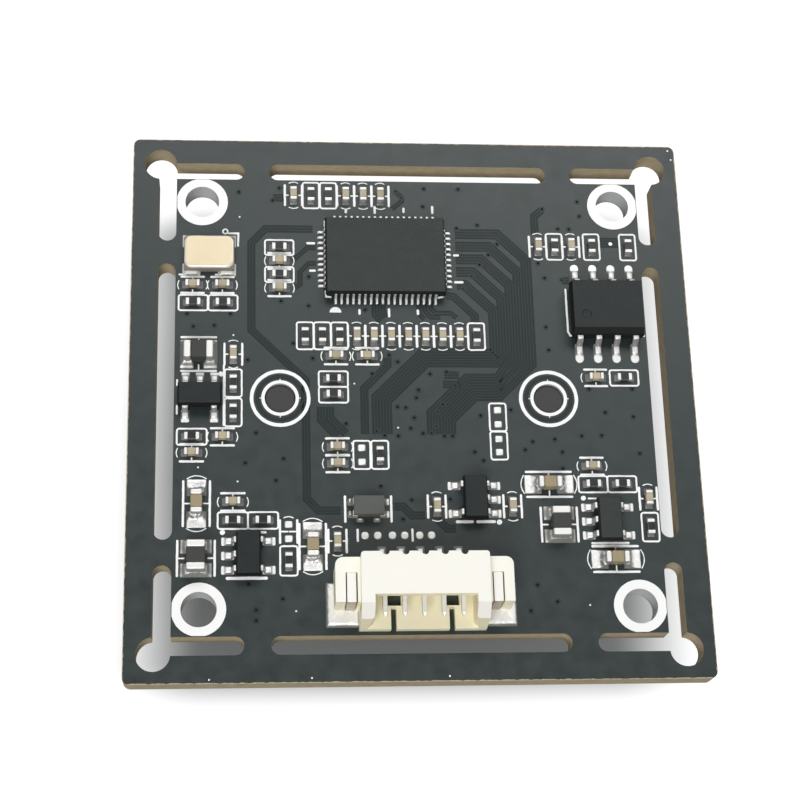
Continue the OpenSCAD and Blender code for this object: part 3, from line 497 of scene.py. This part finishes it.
def printed(points, width=INK_W, closed=False):
    """A line of ink along a path, with round ends and an edge that isn't quite even."""
    # Each line lies a hair higher than the last, so that none share a face where they cross
    ink_lines.append(points)
    z = INK_H + len(ink_lines) % INK_STEPS * INK_STEP
    points = [Vector(p) for p in points]
    if closed:
        points.append(points[0])
    fine = [points[0]]
    for a, b in zip(points, points[1:]):
        steps = max(1, round((b - a).length / 0.22))
        fine += [a + (b - a) * (k / steps) for k in range(1, steps + 1)]
    ways = [(b - a).normalized() for a, b in zip(fine, fine[1:])]
    if closed:
        fine.pop()
    last = len(fine) - 1
    left, right = [], []
    for i, p in enumerate(fine):
        before = ways[i - 1] if closed else ways[max(0, i - 1)]
        after = ways[i] if closed else ways[min(i, len(ways) - 1)]
        side = Vector((-before.y - after.y, before.x + after.x)).normalized()
        reach = 1 / max(0.6, side.dot(Vector((-before.y, before.x))))
        left.append(p + side * (width / 2 * reach + random.uniform(-INK_WOBBLE, INK_WOBBLE)))
        right.append(p - side * (width / 2 * reach + random.uniform(-INK_WOBBLE, INK_WOBBLE)))
    tops = [[vert(ink, p.x, p.y, z) for p in row] for row in (left, right)]
    feet = [[vert(ink, p.x, p.y, 0) for p in row] for row in (left, right)]
    for a, b in ((tops[0], tops[1]), (feet[0], tops[0]), (tops[1], feet[1])):
        bridge(ink, a, b, closed)
    if closed:
        return
    for i, way in ((0, -ways[0]), (last, ways[-1])):
        across = Vector((-way.y, way.x))
        turns = [math.pi * k / 6 for k in range(1, 6)]
        tip = [fine[i] + (across * math.cos(a) + way * math.sin(a)) * (width / 2) for a in turns]
        first, second = (0, 1) if i == last else (1, 0)
        top_loop = [tops[first][i], *[vert(ink, p.x, p.y, z) for p in tip], tops[second][i]]
        low_loop = [feet[first][i], *[vert(ink, p.x, p.y, 0) for p in tip], feet[second][i]]
        ink.faces.new(top_loop)
        bridge(ink, top_loop, low_loop, False)


def arc(x, y, radius, start, end, steps):
    """Points along an arc, with its angles in degrees."""
    angles = [math.radians(start + (end - start) * k / steps) for k in range(steps + 1)]
    return [(x + radius * math.cos(a), y + radius * math.sin(a)) for a in angles]


def rounded(half_l, half_w, r):
    """The outline of a rectangle round the origin, with round corners."""
    rim = []
    for x, y, start in ((1, 1, 0), (-1, 1, 90), (-1, -1, 180), (1, -1, 270)):
        rim += arc(x * (half_l - r), y * (half_w - r), r, start, start + 90, 3)
    return rim


def turned(points, place, turn):
    """Points of a mark moved to their place on the board, turned by 0 or 90 degrees."""
    if turn:
        points = [(-y, x) for x, y in points]
    return [(place[0] + x, place[1] + y) for x, y in points]


def frame_mark(place, turn):
    """The closed outline round a resistor."""
    printed(turned(rounded(0.975, 0.56, 0.15), place, turn), 0.115, True)


def open_mark(place, turn, length, half, tick, bow=None):
    """Two lines beside a part, with a tick in the middle of each. A bow is drawn past each end if it
    has a place along the part, a rise and half a width."""
    for s in (-1, 1):
        printed(turned([(-length / 2, s * half), (length / 2, s * half)], place, turn), 0.15)
        printed(turned([(0, s * half), (0, s * (half - tick))], place, turn), 0.1)
        if bow:
            tip, rise, wide = bow
            curve = [(s * (tip - rise * k * k), k * wide) for k in (-1, -0.6, -0.2, 0.2, 0.6, 1)]
            printed(turned(curve, place, turn), 0.065)


def centres(node):
    """The middle and the size of each separate solid in a CAD node, in millimetres."""
    bm = bmesh.new()
    bm.from_mesh(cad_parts[node].data)
    bmesh.ops.remove_doubles(bm, verts=bm.verts, dist=1e-7)
    found = []
    left = set(bm.verts)
    while left:
        island = {left.pop()}
        edge = list(island)
        while edge:
            for link in edge.pop().link_edges:
                for near in link.verts:
                    if near in left:
                        left.remove(near)
                        island.add(near)
                        edge.append(near)
        low = [min(v.co[k] for v in island) / MM for k in range(3)]
        high = [max(v.co[k] for v in island) / MM for k in range(3)]
        found.append(((Vector(low) + Vector(high)) / 2, Vector(high) - Vector(low)))
    bm.free()
    return sorted(found, key=lambda part: (part[0].x, part[0].y))


def middle(node):
    """The place on the board of a CAD node's middle, in millimetres."""
    low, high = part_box(node)
    return (low.x + high.x) / 2 / MM, (low.y + high.y) / 2 / MM


def parts(bodies, ends):
    """The place and turn of each two-ended part, from its middle and its nearest end."""
    tips = [c for c, s in centres(ends)]
    found = []
    for c, s in centres(bodies):
        way = min((t - c for t in tips), key=lambda v: v.length)
        found.append(((c.x, c.y), 0 if abs(way.x) > abs(way.y) else 90))
    return found


for place, turn in parts("small_capacitors", "small_capacitor_ends"):
    open_mark(place, turn, 1.5, 0.59, 0.22, (1.0, 0.08, 0.3))
for place, turn in parts("resistor_coats", "small_resistor_ends"):
    frame_mark(place, turn)
for place, turn in parts("bulk_capacitors", "bulk_capacitor_ends"):
    open_mark(place, turn, 3.0, 0.86, 0.4, (1.88, 0.2, 0.62))
for place, turn in parts("power_inductors", "power_inductor_ends"):
    open_mark(place, turn, 2.3, 1.2, 0.42)

# Parts that were left off keep their outline and their two bare pads: the place and the pads' pitch
EMPTY = [((-8.5, -9.15), 0.96), ((-3.65, -3.95), 0.97), ((5.5, -1.32), 1.0), ((5.5, -3.31), 0.92)]
for place, _ in EMPTY[1:]:
    frame_mark(place, 90)
open_mark(EMPTY[0][0], 90, 1.5, 0.56, 0.5, (1.0, 0.08, 0.3))

for x in PEGS_X:
    printed(arc(x, 0, 1.89, 0, 354, 59), 0.24, True)

# Round the processor: pin one, the corners, and a mark at every fourth pin
px, py = middle("image_processor")
half_disc = arc(px - 3.43, py - 3.9, 0.4, 0, 180, 12)
disc_top = [vert(ink, x, y, INK_H) for x, y in half_disc]
disc_foot = [vert(ink, x, y, 0) for x, y in half_disc]
ink.faces.new(disc_top)
bridge(ink, disc_foot, disc_top)
printed([(px - 4.07, py - 2.35), (px - 4.05, py - 2.75), (px - 3.75, py - 2.78)])
printed([(px + 3.6, py - 2.78), (px + 3.9, py - 2.7), (px + 3.95, py - 2.3)])
printed([(px - 4.07, py + 2.45), (px - 4.07, py + 2.85)])
for x, y, dx, dy in (
    (-1.8, -3.85, 0, 0.25), (0.2, -3.9, 0, 0.5), (2.17, -3.85, 0, 0.25),
    (4.93, 0.38, 0.25, 0), (5.05, -1.62, 0.5, 0),
    (-5.05, 1.2, 0.45, 0), (-4.95, -0.85, 0.3, 0),
    (-2.6, 3.65, 0, 0.2), (-0.6, 3.75, 0, 0.45), (1.4, 3.75, 0, 0.25), (3.4, 3.8, 0, 0.45),
):
    printed([(px + x - dx / 2, py + y - dy / 2), (px + x + dx / 2, py + y + dy / 2)], 0.16)

# Beside the memory and the crystal
printed([(10.6, 7.95), (10.6, 4.85), (10.75, 4.56), (15.85, 4.56)])
printed(arc(-12.67, 12.06, 0.17, 0, 330, 11), 0.1, True)
printed([(-12.45, 11.92), (-11.78, 11.92), (-11.8, 11.0)])
# Straight lines beside the other chips, the choke and the test pads. The shortest ones are dots
for start, end, width in (
    ((-15.75, 8.85), (-14.55, 8.85), 0.12), ((-13.3, 8.85), (-12.1, 8.85), 0.12),
    ((-12.45, -12.23), (-9.95, -12.23), 0.2), ((-12.78, -9.2), (-12.76, -9.19), 0.32),
    ((-10.3, -9.2), (-10.0, -9.2), 0.16), ((2.5, -8.54), (3.5, -8.54), 0.2),
    ((3.85, -8.54), (4.95, -8.54), 0.2), ((5.27, -8.58), (5.29, -8.57), 0.34),
    ((10.93, -6.96), (10.95, -6.95), 0.32), ((11.3, -6.98), (11.9, -6.98), 0.12),
    ((11.35, -10.02), (13.75, -10.02), 0.14), ((11.35, -10.2), (13.75, -10.2), 0.14),
    ((-12.72, 2.3), (-12.72, -1.9), 0.13), ((-12.92, 1.7), (-12.9, 1.68), 0.34),
    ((-15.8, 1.25), (-15.8, 0.9), 0.12), ((-15.8, -0.55), (-15.8, -1.1), 0.12),
    ((-4.82, -6.8), (-4.82, -8.5), 0.15), ((-1.8, -6.8), (-1.8, -8.5), 0.15),
    ((-4.03, -9.05), (-4.03, -9.8), 0.15), ((-0.46, -9.05), (-0.46, -9.8), 0.15),
):
    printed([start, end], width)
ink_white = finish("legend_ink", (0.98, 0.98, 0.97), (0.93, 0.94, 0.93), (0.5, 0.65), 9000, 3e-6)
piece("printed_legend", ink, ink_white)

# ---- Solder and bare pads ---------------------------------------------------------------------
# Every part sits in reflowed solder: a bright, slightly grainy film over its tinned pad, drawn up
# in a hollow fillet against the part's end. Pads without a part carry a low dome.
SOLDER_STEP = 0.16
SOLDER_EDGE = 0.09
solder_mesh = bmesh.new()


def solder(place, turn, size, foot=None, rise=0.0, film=0.035, rough=0.006, corner=0.1, flow=0.3):
    """Solder on one pad. Size is the pad's length and width, foot the part of it that is covered:
    from and to along its length, and half its width. Turn is the way its length runs, in degrees."""
    length, width = size[0] / 2, size[1] / 2
    rim = rounded(length, width, min(corner, length, width))
    spread = []
    for (x0, y0), (x1, y1) in zip(rim, rim[1:] + rim[:1]):
        gap = math.hypot(x1 - x0, y1 - y0)
        steps = max(1, round(gap / SOLDER_STEP)) if gap > 1e-6 else 0
        spread += [(x0 + (x1 - x0) * k / steps, y0 + (y1 - y0) * k / steps) for k in range(steps)]
    c, s = math.cos(math.radians(turn)), math.sin(math.radians(turn))
    loops = []
    for share in (1, 0.985, 0.9, 0.76, 0.6, 0.42, 0.2):
        edge = min(1, (1 - share) * min(length, width) / SOLDER_EDGE)
        loop = []
        for x, y in spread:
            x, y = x * share, y * share
            height = film * math.sqrt(edge)
            if foot:
                off_x = max(foot[0] - x, x - foot[1], 0)
                off_y = max(abs(y) - foot[2], 0)
                near = max(0, 1 - math.hypot(off_x, off_y) / flow)
                height += rise * near ** 2 * edge
            wave = noise.noise(Vector((place[0] + x, place[1] + y, 3)) * 7)
            height += rough * wave * edge * 2
            height = max(height, 0.002 * edge)
            loop.append(vert(solder_mesh, place[0] + x * c - y * s, place[1] + x * s + y * c, height))
        loops.append(loop)
    for a, b in zip(loops, loops[1:]):
        bridge(solder_mesh, a, b)
    solder_mesh.faces.new(loops[-1])


def facing(way, flat):
    """The turn in degrees of a part's end that points this way, along X if it is flat."""
    if flat:
        return 0 if way.x > 0 else 180
    return 90 if way.y > 0 else 270


def end_joints(bodies, ends, pad, rise, film, rough, reach, flow):
    """Solder under both ends of every part in a pair of CAD nodes.
    Pad is its length and width, reach how far it goes past the part's end."""
    middles = [c for c, s in centres(bodies)]
    for c, s in centres(ends):
        way = c - min(middles, key=lambda m: (m - c).length)
        flat = abs(way.x) > abs(way.y)
        turn = facing(way, flat)
        end_l, end_w = (s.x, s.y) if flat else (s.y, s.x)
        out = Vector((math.cos(math.radians(turn)), math.sin(math.radians(turn))))
        shift = end_l / 2 + reach - pad[0] / 2
        place = (c.x + out.x * shift, c.y + out.y * shift)
        foot = (-shift - end_l / 2, -shift + end_l / 2, end_w / 2)
        solder(place, turn, pad, foot, rise, film, rough, 0.08, flow)


end_joints("small_capacitors", "small_capacitor_ends", (0.46, 0.54), 0.24, 0.03, 0.004, 0.2, 0.24)
end_joints("resistor_coats", "small_resistor_ends", (0.42, 0.5), 0.2, 0.03, 0.004, 0.18, 0.22)
end_joints("bulk_capacitors", "bulk_capacitor_ends", (1.15, 1.3), 0.3, 0.06, 0.045, 0.85, 0.5)
end_joints("power_inductors", "power_inductor_ends", (0.95, 2.05), 0.3, 0.06, 0.04, 0.25, 0.4)
for place, pitch in EMPTY:
    for s in (-1, 1):
        at = (place[0], place[1] + s * pitch / 2)
        solder(at, 90, (0.5, 0.55), film=0.07, rough=0.012, corner=0.12)
# Six round test pads behind the connector, the open vias and a probe point above the memory
for x in (-3.56, -2.73, -1.77, -0.97, 0.0, 0.78):
    solder((x, -9.44), 0, (0.52, 0.54), film=0.05, rough=0.012, corner=0.22)
for x, y in OPEN_VIAS:
    spot(solder_mesh, x, y, 0.07, 0.02)
spot(solder_mesh, 13.96, 11.4, 0.14, 0.03)
# Four short spokes on each peg hole's ring
for x in PEGS_X:
    for way in (Vector((1, 0)), Vector((0, 1)), Vector((-1, 0)), Vector((0, -1))):
        ridge(solder_mesh, [Vector((x, 0)) + way * 1.2, Vector((x, 0)) + way * 1.36], 0.1, 0.03)

# ---- Leads ------------------------------------------------------------------------------------
# Stamped copper-alloy strips, tinned and bent into gull wings: out of the body's side, down in two
# bends, and flat on the pad, where solder climbs round the toe and heel.
# Level faces near-white, steep faces painted dark grey: painted shade and painted reflection on the bends of
# the leads.
tinned_lead = finish("tinned_lead", (0.98, 0.98, 0.96), (0.95, 0.95, 0.93), (0.26, 0.42), 4000, 5e-6,
                     Metallic=0.16)
uprights(tinned_lead, (0.24, 0.24, 0.235), (0.38, 0.38, 0.37), (0.25, 0.4), 4000, Steep=0.72, Flat=0.95)
fine_lead = finish("fine_lead", (0.98, 0.98, 0.96), (0.93, 0.93, 0.91), (0.26, 0.42), 4000, 5e-6,
                   Metallic=0.2)
uprights(fine_lead, (0.34, 0.34, 0.33), (0.52, 0.52, 0.51), (0.25, 0.4), 4000, Steep=0.6, Flat=0.9)
# The section of a strip, in halves of its width and thickness, and the points along its bend
STRIP = ((-1, -0.55), (-0.8, -1), (0.8, -1), (1, -0.55), (1, 0.55), (0.8, 1), (-0.8, 1), (-1, 0.55))
BEND = [k / 8 for k in range(9)]


def gull_wings(name, body, node, metal, foot_l, thick, pad, corner, tail, shoulder=0.32):
    """Bent leads in place of a CAD node of leads, each on its own solder. The foot lies flat on the
    pad, which goes on past it by the tail. The shoulder is the level share of the rest."""
    low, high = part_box(body)
    centre = (low + high) / 2 / MM
    half = (high - low) / 2 / MM
    bm = bmesh.new()
    for c, s in centres(node):
        off = c - centre
        flat = abs(off.x) - half.x > abs(off.y) - half.y
        turn = facing(off, flat)
        reach, width = (s.x, s.y) if flat else (s.y, s.x)
        way = Vector((math.cos(math.radians(turn)), math.sin(math.radians(turn)), 0))
        across = Vector((-way.y, way.x, 0))
        root = Vector((c.x, c.y, 0)) - way * reach / 2
        rise = s.z - thick / 2
        knee = reach - foot_l
        line = [(-0.04, rise)]
        for t in BEND:
            ease = t * t * (3 - 2 * t)
            along = knee * (shoulder + (0.94 - shoulder) * (t + ease) / 2)
            line.append((along, rise + (thick / 2 - rise) * ease))
        line.append((knee + 0.12 * foot_l, thick / 2))
        line.append((reach - 0.04, thick / 2))
        line.append((reach, thick / 2 - 0.01))
        rows = []
        for i, (u, z) in enumerate(line):
            a, b = line[max(0, i - 1)], line[min(i + 1, len(line) - 1)]
            slope = Vector((b[0] - a[0], b[1] - a[1])).normalized()
            up = Vector((-slope.y, slope.x))
            size = 0.8 if i == len(line) - 1 else 1.0
            row = []
            for v, w in STRIP:
                lift = w * thick / 2 * size
                at = root + way * (u + up.x * lift) + across * v * width / 2 * size
                row.append(vert(bm, at.x, at.y, z + up.y * lift))
            rows.append(row)
        for a, b in zip(rows, rows[1:]):
            bridge(bm, a, b)
        bm.faces.new(rows[0])
        bm.faces.new(rows[-1])
        toe = root + way * (reach + tail - pad[0] / 2)
        foot = (pad[0] / 2 - tail - foot_l, pad[0] / 2 - tail, width / 2)
        solder((toe.x, toe.y), turn, pad, foot, thick * 0.75, 0.03, 0.004, corner, 0.16)
    piece(name, bm, metal, [node], 50)


gull_wings("processor_gull_wings", "image_processor", "image_processor_leads", fine_lead,
           foot_l=0.31, thick=0.11, pad=(0.5, 0.19), corner=0.05, tail=0.08, shoulder=0.08)
gull_wings("memory_gull_wings", "flash_memory", "flash_memory_leads", tinned_lead,
           foot_l=0.5, thick=0.2, pad=(1.45, 0.6), corner=0.3, tail=0.62)
for chip in ("core_regulator", "sensor_regulator", "video_driver", "input_regulator"):
    gull_wings(chip + "_gull_wings", chip, chip + "_leads", tinned_lead,
               foot_l=0.35, thick=0.15, pad=(0.85, 0.58), corner=0.1, tail=0.3)

# ---- Moulded chips ----------------------------------------------------------------------------
# Black epoxy, pressed round the lead frame. The mould leaves a fine matt grain on the faces and a
# small radius on every edge. No marking is printed on them.


def soften(node, material, width, segments=2):
    """Gives a CAD node its finish and rounds its edges a little, by a width in millimetres."""
    obj = coat(node, material)
    weld = obj.modifiers.new("weld", "WELD")
    weld.merge_threshold = 1e-7
    clean = obj.modifiers.new("clean", "DECIMATE")
    clean.decimate_type = "DISSOLVE"
    clean.angle_limit = math.radians(1)
    ease = obj.modifiers.new("ease", "BEVEL")
    ease.width = width * MM
    ease.segments = segments
    ease.limit_method = "ANGLE"
    ease.angle_limit = math.radians(30)
    ease.harden_normals = True


mould = finish("chip_epoxy", (0.0115, 0.0175, 0.0165), (0.0295, 0.039, 0.0365), (0.44, 0.62), 8500, 40e-6,
               Specular_IOR_Level=0.5)
mould_smooth = finish("chip_epoxy_smooth", (0.009, 0.0135, 0.0130), (0.0135, 0.019, 0.0185), (0.40, 0.5),
                      9000, 12e-6, Specular_IOR_Level=0.36)
# The upright faces of the chips are painted nearly black, darker than their tops: painted shade.
for epoxy in (mould, mould_smooth):
    uprights(epoxy, (0.003, 0.004, 0.004), (0.005, 0.006, 0.006), (0.85, 0.95), 9000, Steep=0.6, Flat=0.9)
for chip in ("image_processor", "input_regulator"):
    soften(chip, mould, 0.05)
for chip in ("flash_memory", "core_regulator", "sensor_regulator", "video_driver"):
    soften(chip, mould_smooth, 0.05)

# ---- Crystal ----------------------------------------------------------------------------------
# A quartz crystal in a dull ceramic tray on four pads, closed by a thin gold-washed metal lid. The lid is
# seam welded on;
# its rounded edge is painted paler, as a painted highlight along the rim.
lid_gold = finish("crystal_lid", (0.87, 0.75, 0.53), (0.80, 0.67, 0.45), (0.34, 0.46), 2500, 4e-6,
                  Metallic=0.3)
uprights(lid_gold, (1.0, 0.97, 0.90), (0.95, 0.90, 0.80), (0.3, 0.4), 2500, Steep=0.9, Flat=0.995)
tray = finish("crystal_tray", (0.20, 0.18, 0.15), (0.28, 0.25, 0.20), (0.45, 0.6), 6000, 5e-6)
soften("crystal_lid", lid_gold, 0.2, 4)
soften("crystal_base", tray, 0.04)
cx, cy = middle("crystal_base")
for x in (cx - 1.2, cx + 1.2):
    for y in (cy - 1.05, cy + 1.05):
        solder((x, y), 0, (1.25, 0.95), (-0.35, 0.35, 0.3), 0.12, 0.04, 0.008, 0.1, 0.3)

# ---- Inductors and choke ----------------------------------------------------------------------
# Pressed ferrite blocks, charcoal and dull, with dipped metal ends. The choke's top is plain: its
# four ends stop lower down, at the corners of its short sides.
dipped = finish("dipped_ends", (0.96, 0.955, 0.92), (0.90, 0.89, 0.85), (0.3, 0.45), 3500, 9e-6,
                Metallic=0.16)
# The upright faces of the ends are painted dark grey against their bright tops: painted shade.
uprights(dipped, (0.28, 0.27, 0.26), (0.44, 0.43, 0.41), (0.25, 0.4), 3500, Steep=0.66, Flat=0.97)
core = finish("inductor_core", (0.033, 0.035, 0.031), (0.046, 0.048, 0.043), (0.5, 0.65), 7000, 12e-6)
ferrite = finish("ferrite", (0.072, 0.078, 0.070), (0.096, 0.103, 0.093), (0.5, 0.65), 7000, 12e-6)
soften("power_inductors", core, 0.05)
soften("power_inductor_ends", dipped, 0.14, 4)


def block(bm, at, size):
    """A box in a mesh, in metres."""
    stand = Matrix.Translation(at) @ Matrix.Diagonal((*size, 1))
    bmesh.ops.create_cube(bm, size=1, matrix=stand)


CHOKE_END_H = 0.56
low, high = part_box("line_choke")
choke = bmesh.new()
block(choke, (low + high) / 2, high - low)
bmesh.ops.bevel(choke, geom=choke.edges[:], offset=0.04 * MM, segments=2, affect="EDGES", profile=0.5)
piece("choke_block", choke, ferrite, ["line_choke"])
hx, hy = middle("line_choke")
choke_ends = bmesh.new()
for c, s in centres("line_choke_ends"):
    x = c.x + (0.03 if c.x > hx else -0.03)
    y = c.y + (0.03 if c.y > hy else -0.13)
    at = Vector((x, y, TOP / MM + s.z * CHOKE_END_H / 2)) * MM
    block(choke_ends, at, (s.x * MM, s.y * MM, s.z * CHOKE_END_H * MM))
piece("choke_ends", choke_ends, dipped, ["line_choke_ends"])
for side in (-1, 1):
    for y in (hy - 0.42, hy + 0.42):
        solder((hx + side * 1.08, y), 0, (0.62, 0.5), (-0.4, -0.1, 0.2), 0.3, 0.06, 0.02, 0.12, 0.3)
    solder((hx + side * 0.55, hy - 0.78), 0, (0.5, 0.34), (-0.2, 0.2, 0.05), 0.1, 0.05, 0.02, 0.12, 0.2)

# ---- Chip capacitors --------------------------------------------------------------------------
# Stacks of tan barium-titanate ceramic with dipped, tinned ends.
tan = finish("capacitor_ceramic", (0.40, 0.32, 0.18), (0.27, 0.235, 0.15), (0.35, 0.5), 3500, 6e-6)
pale_tan = finish("small_capacitor_ceramic", (0.64, 0.53, 0.36), (0.27, 0.245, 0.17), (0.35, 0.5),
                  3500, 6e-6)
soften("bulk_capacitors", tan, 0.05)
soften("bulk_capacitor_ends", dipped, 0.13, 4)
soften("small_capacitors", pale_tan, 0.03)
soften("small_capacitor_ends", dipped, 0.08, 3)

# ---- Chip resistors ---------------------------------------------------------------------------
# White alumina strips with a black glass coat over the resistive film, and dipped ends. The alumina is drawn
# grey, with its upright sides painted near-black as painted shade.
alumina = finish("alumina", (0.26, 0.26, 0.26), (0.18, 0.18, 0.18), (0.5, 0.6), 6000, 5e-6)
uprights(alumina, (0.07, 0.07, 0.07), (0.11, 0.11, 0.11), (0.5, 0.6), 6000)
glaze = finish("resistor_glaze", (0.014, 0.015, 0.016), (0.022, 0.024, 0.026), (0.3, 0.42), 6000, 5e-6)
soften("small_resistors", alumina, 0.02)
soften("resistor_coats", glaze, 0.015)
soften("small_resistor_ends", dipped, 0.05, 3)

# ---- Connector --------------------------------------------------------------------------------
# A side-entry header in cream nylon: five square pins stand in its mouth and turn down behind it
# to their pads, and a tinned tab in each ear is soldered to a large pad to take the cord's pull.
nylon = finish("cream_nylon", (0.95, 0.93, 0.86), (0.93, 0.905, 0.825), (0.4, 0.5), 4000, 6e-6,
               Subsurface_Weight=0.12, Subsurface_Scale=0.0004)
# Upright faces, and the low faces down in the mouth, are painted a deeper, warmer tan than the pale top:
# painted shade warmed by light bouncing in the mouth.
uprights(nylon, (0.99, 0.92, 0.68), (0.98, 0.90, 0.63), (0.4, 0.5), 4000,
         Low=TOP + 0.3 * MM, High=TOP + 3.0 * MM)
pin_metal = finish("pin_tin", (0.98, 0.97, 0.94), (0.94, 0.93, 0.89), (0.25, 0.35), 4000, 4e-6,
                   Metallic=0.1)
# The pins' upright faces are painted dull brown against their bright tops: painted shade and a painted
# reflection of the nylon round them.
uprights(pin_metal, (0.42, 0.34, 0.26), (0.54, 0.45, 0.34), (0.3, 0.4), 4000)
coat("connector_housing", nylon)
soften("connector_pins", pin_metal, 0.04)
soften("connector_solder_tabs", pin_metal, 0.05)
for c, s in centres("connector_pins"):
    at = (c.x, c.y + s.y / 2 - 0.1)
    solder(at, 90, (0.85, 0.6), (-0.35, 0.2, 0.15), 0.18, 0.05, 0.012, 0.1, 0.3)
for c, s in centres("connector_solder_tabs"):
    at = (c.x + (0.42 if c.x > 0 else -0.42), c.y - 0.35)
    solder(at, 90, (2.95, 2.2), (-1.25, 1.5, 0.9), 0.12, 0.09, 0.03, 0.08, 0.4)

# The solder is one piece, made when all its pads are laid
solder_skin = finish("solder", (0.98, 0.98, 0.95), (0.92, 0.92, 0.90), (0.2, 0.45), 3000, 20e-6,
                     Metallic=0.12)
# The steep faces of the solder are painted dark grey under its near-white level faces: painted shade and
# painted reflection of the dark room round the joints.
uprights(solder_skin, (0.15, 0.15, 0.14), (0.32, 0.32, 0.30), (0.15, 0.35), 3000, Steep=0.78, Flat=0.975)
piece("solder_joints", solder_mesh, solder_skin, (), 60)

# ---- Image sensor -----------------------------------------------------------------------------
# A ceramic package soldered under the board, with the silicon chip in its well and a cover glass.
ceramic = finish("sensor_ceramic", (0.72, 0.70, 0.64), (0.66, 0.64, 0.58), (0.4, 0.55), 5000, 4e-6)
silicon = finish("sensor_silicon", (0.05, 0.09, 0.12), (0.09, 0.07, 0.13), (0.08, 0.16), 3000, 1e-6,
                 Metallic=0.5)
soften("image_sensor", ceramic, 0.05)
coat("sensor_die", silicon)


def glass(name, tint, ior):
    """Clear glass, slightly tinted."""
    material = bpy.data.materials.new(name)
    material.use_nodes = True
    shader = material.node_tree.nodes["Principled BSDF"]
    shader.inputs["Base Color"].default_value = (*tint, 1)
    shader.inputs["Transmission Weight"].default_value = 1.0
    shader.inputs["IOR"].default_value = ior
    shader.inputs["Roughness"].default_value = 0.02
    return material


coat("sensor_cover_glass", glass("cover_glass", (0.93, 0.97, 0.97), 1.5))

# ---- Lens holder ------------------------------------------------------------------------------
# Black glass-filled plastic in one moulding: a box over the sensor, a threaded collar for the lens,
# and two ears whose pegs pass up through the board. The surface has a fine spark-eroded grain.
black = finish("holder_plastic", (0.034, 0.034, 0.035), (0.046, 0.046, 0.048), (0.5, 0.62), 5000, 14e-6)
soften("lens_holder", black, 0.08)

# ---- Lens barrel ------------------------------------------------------------------------------
# Black anodised aluminium, turned in one piece: a round head in front, a relief groove behind it,
# and a fine screw thread, half a millimetre in pitch, that holds it in the collar of the holder.
AROUND = 96
PITCH = 0.5
TURN_STEPS = 8
THREAD_DEPTH = 0.26
THREAD_R = 6.0
THREAD_FROM = 4.5
THREAD_TO = 12.7
# Radius and height of the turned profile, up the outside to the thread and back down the bore
HEAD = [(5.64, 0), (6.7, 0), (6.93, 0.07), (7, 0.3), (7, 3.3), (6.93, 3.53), (6.7, 3.6), (5.6, 3.6),
        (5.6, 4.1)]
BORE = [(5.7, 13), (4.3, 13), (4.3, 12.6), (3.2, 12.6), (3.2, 12.1), (3.8, 12.1), (3.8, 4.5), (4.8, 4.5),
        (4.8, 0.9)]


def thread(z, share):
    """The thread's radius at a height and at a share of the way round. It runs out at both ends."""
    turn = (z / PITCH - share) % 1
    full = min(1, (z - THREAD_FROM) / PITCH + 0.3, (THREAD_TO - z) / PITCH + 0.3)
    return THREAD_R - THREAD_DEPTH * (1 - (1 - abs(2 * turn - 1)) * full)


thread_steps = round((THREAD_TO - THREAD_FROM) / PITCH * TURN_STEPS)
heights = [THREAD_FROM + k * PITCH / TURN_STEPS for k in range(thread_steps + 1)]
shares = [i / AROUND for i in range(AROUND)]
profile = [([r] * AROUND, z) for r, z in HEAD]
profile += [([thread(z, share) for share in shares], z) for z in heights]
profile += [([r] * AROUND, z) for r, z in BORE]
barrel = bmesh.new()
rows = []
for radii, z in profile:
    angles = [2 * math.pi * share for share in shares]
    rows.append([vert(barrel, r * math.cos(a), r * math.sin(a), z, 0) for r, a in zip(radii, angles)])
for a, b in zip(rows, rows[1:] + rows[:1]):
    bridge(barrel, a, b)
anodised = finish("anodised", (0.034, 0.034, 0.036), (0.046, 0.046, 0.049), (0.3, 0.42), 3000, 4e-6,
                  Metallic=0.3)
piece("threaded_barrel", barrel, anodised, ["lens_barrel"], 25)

# ---- Lens parts -------------------------------------------------------------------------------
# Three coated glasses, dropped in from both ends: a screwed ring holds the front one, the aperture
# stop and a tube hold the others apart, and a tinted filter closes the rear.
soften("lens_retaining_ring", anodised, 0.05)
coat("aperture_stop", black)
coat("rear_spacer", black)
for name, ior, tint, film in (
    ("front_lens", 1.7, (0.95, 0.97, 1), (0.45, 0.30, 0.85)),
    ("middle_lens", 1.6, (0.95, 1, 0.98), (0.35, 0.80, 0.55)),
    ("rear_lens", 1.6, (0.97, 0.97, 1), (0.40, 0.50, 0.90)),
):
    material = glass(name, tint, ior)
    shader = material.node_tree.nodes["Principled BSDF"]
    shader.inputs["Coat Weight"].default_value = 0.7
    shader.inputs["Coat Tint"].default_value = (*film, 1)
    shader.inputs["Coat Roughness"].default_value = 0.02
    coat(name, material)
coat("infrared_filter", glass("infrared_filter", (0.7, 0.92, 0.95), 1.5))

# ---- Focus glue -------------------------------------------------------------------------------
# Three beads of pale set adhesive lock the barrel in the collar once it is focused.
glue = finish("focus_glue", (0.75, 0.73, 0.64), (0.68, 0.66, 0.58), (0.25, 0.35), 3000, 10e-6)
coat("focus_glue", glue)
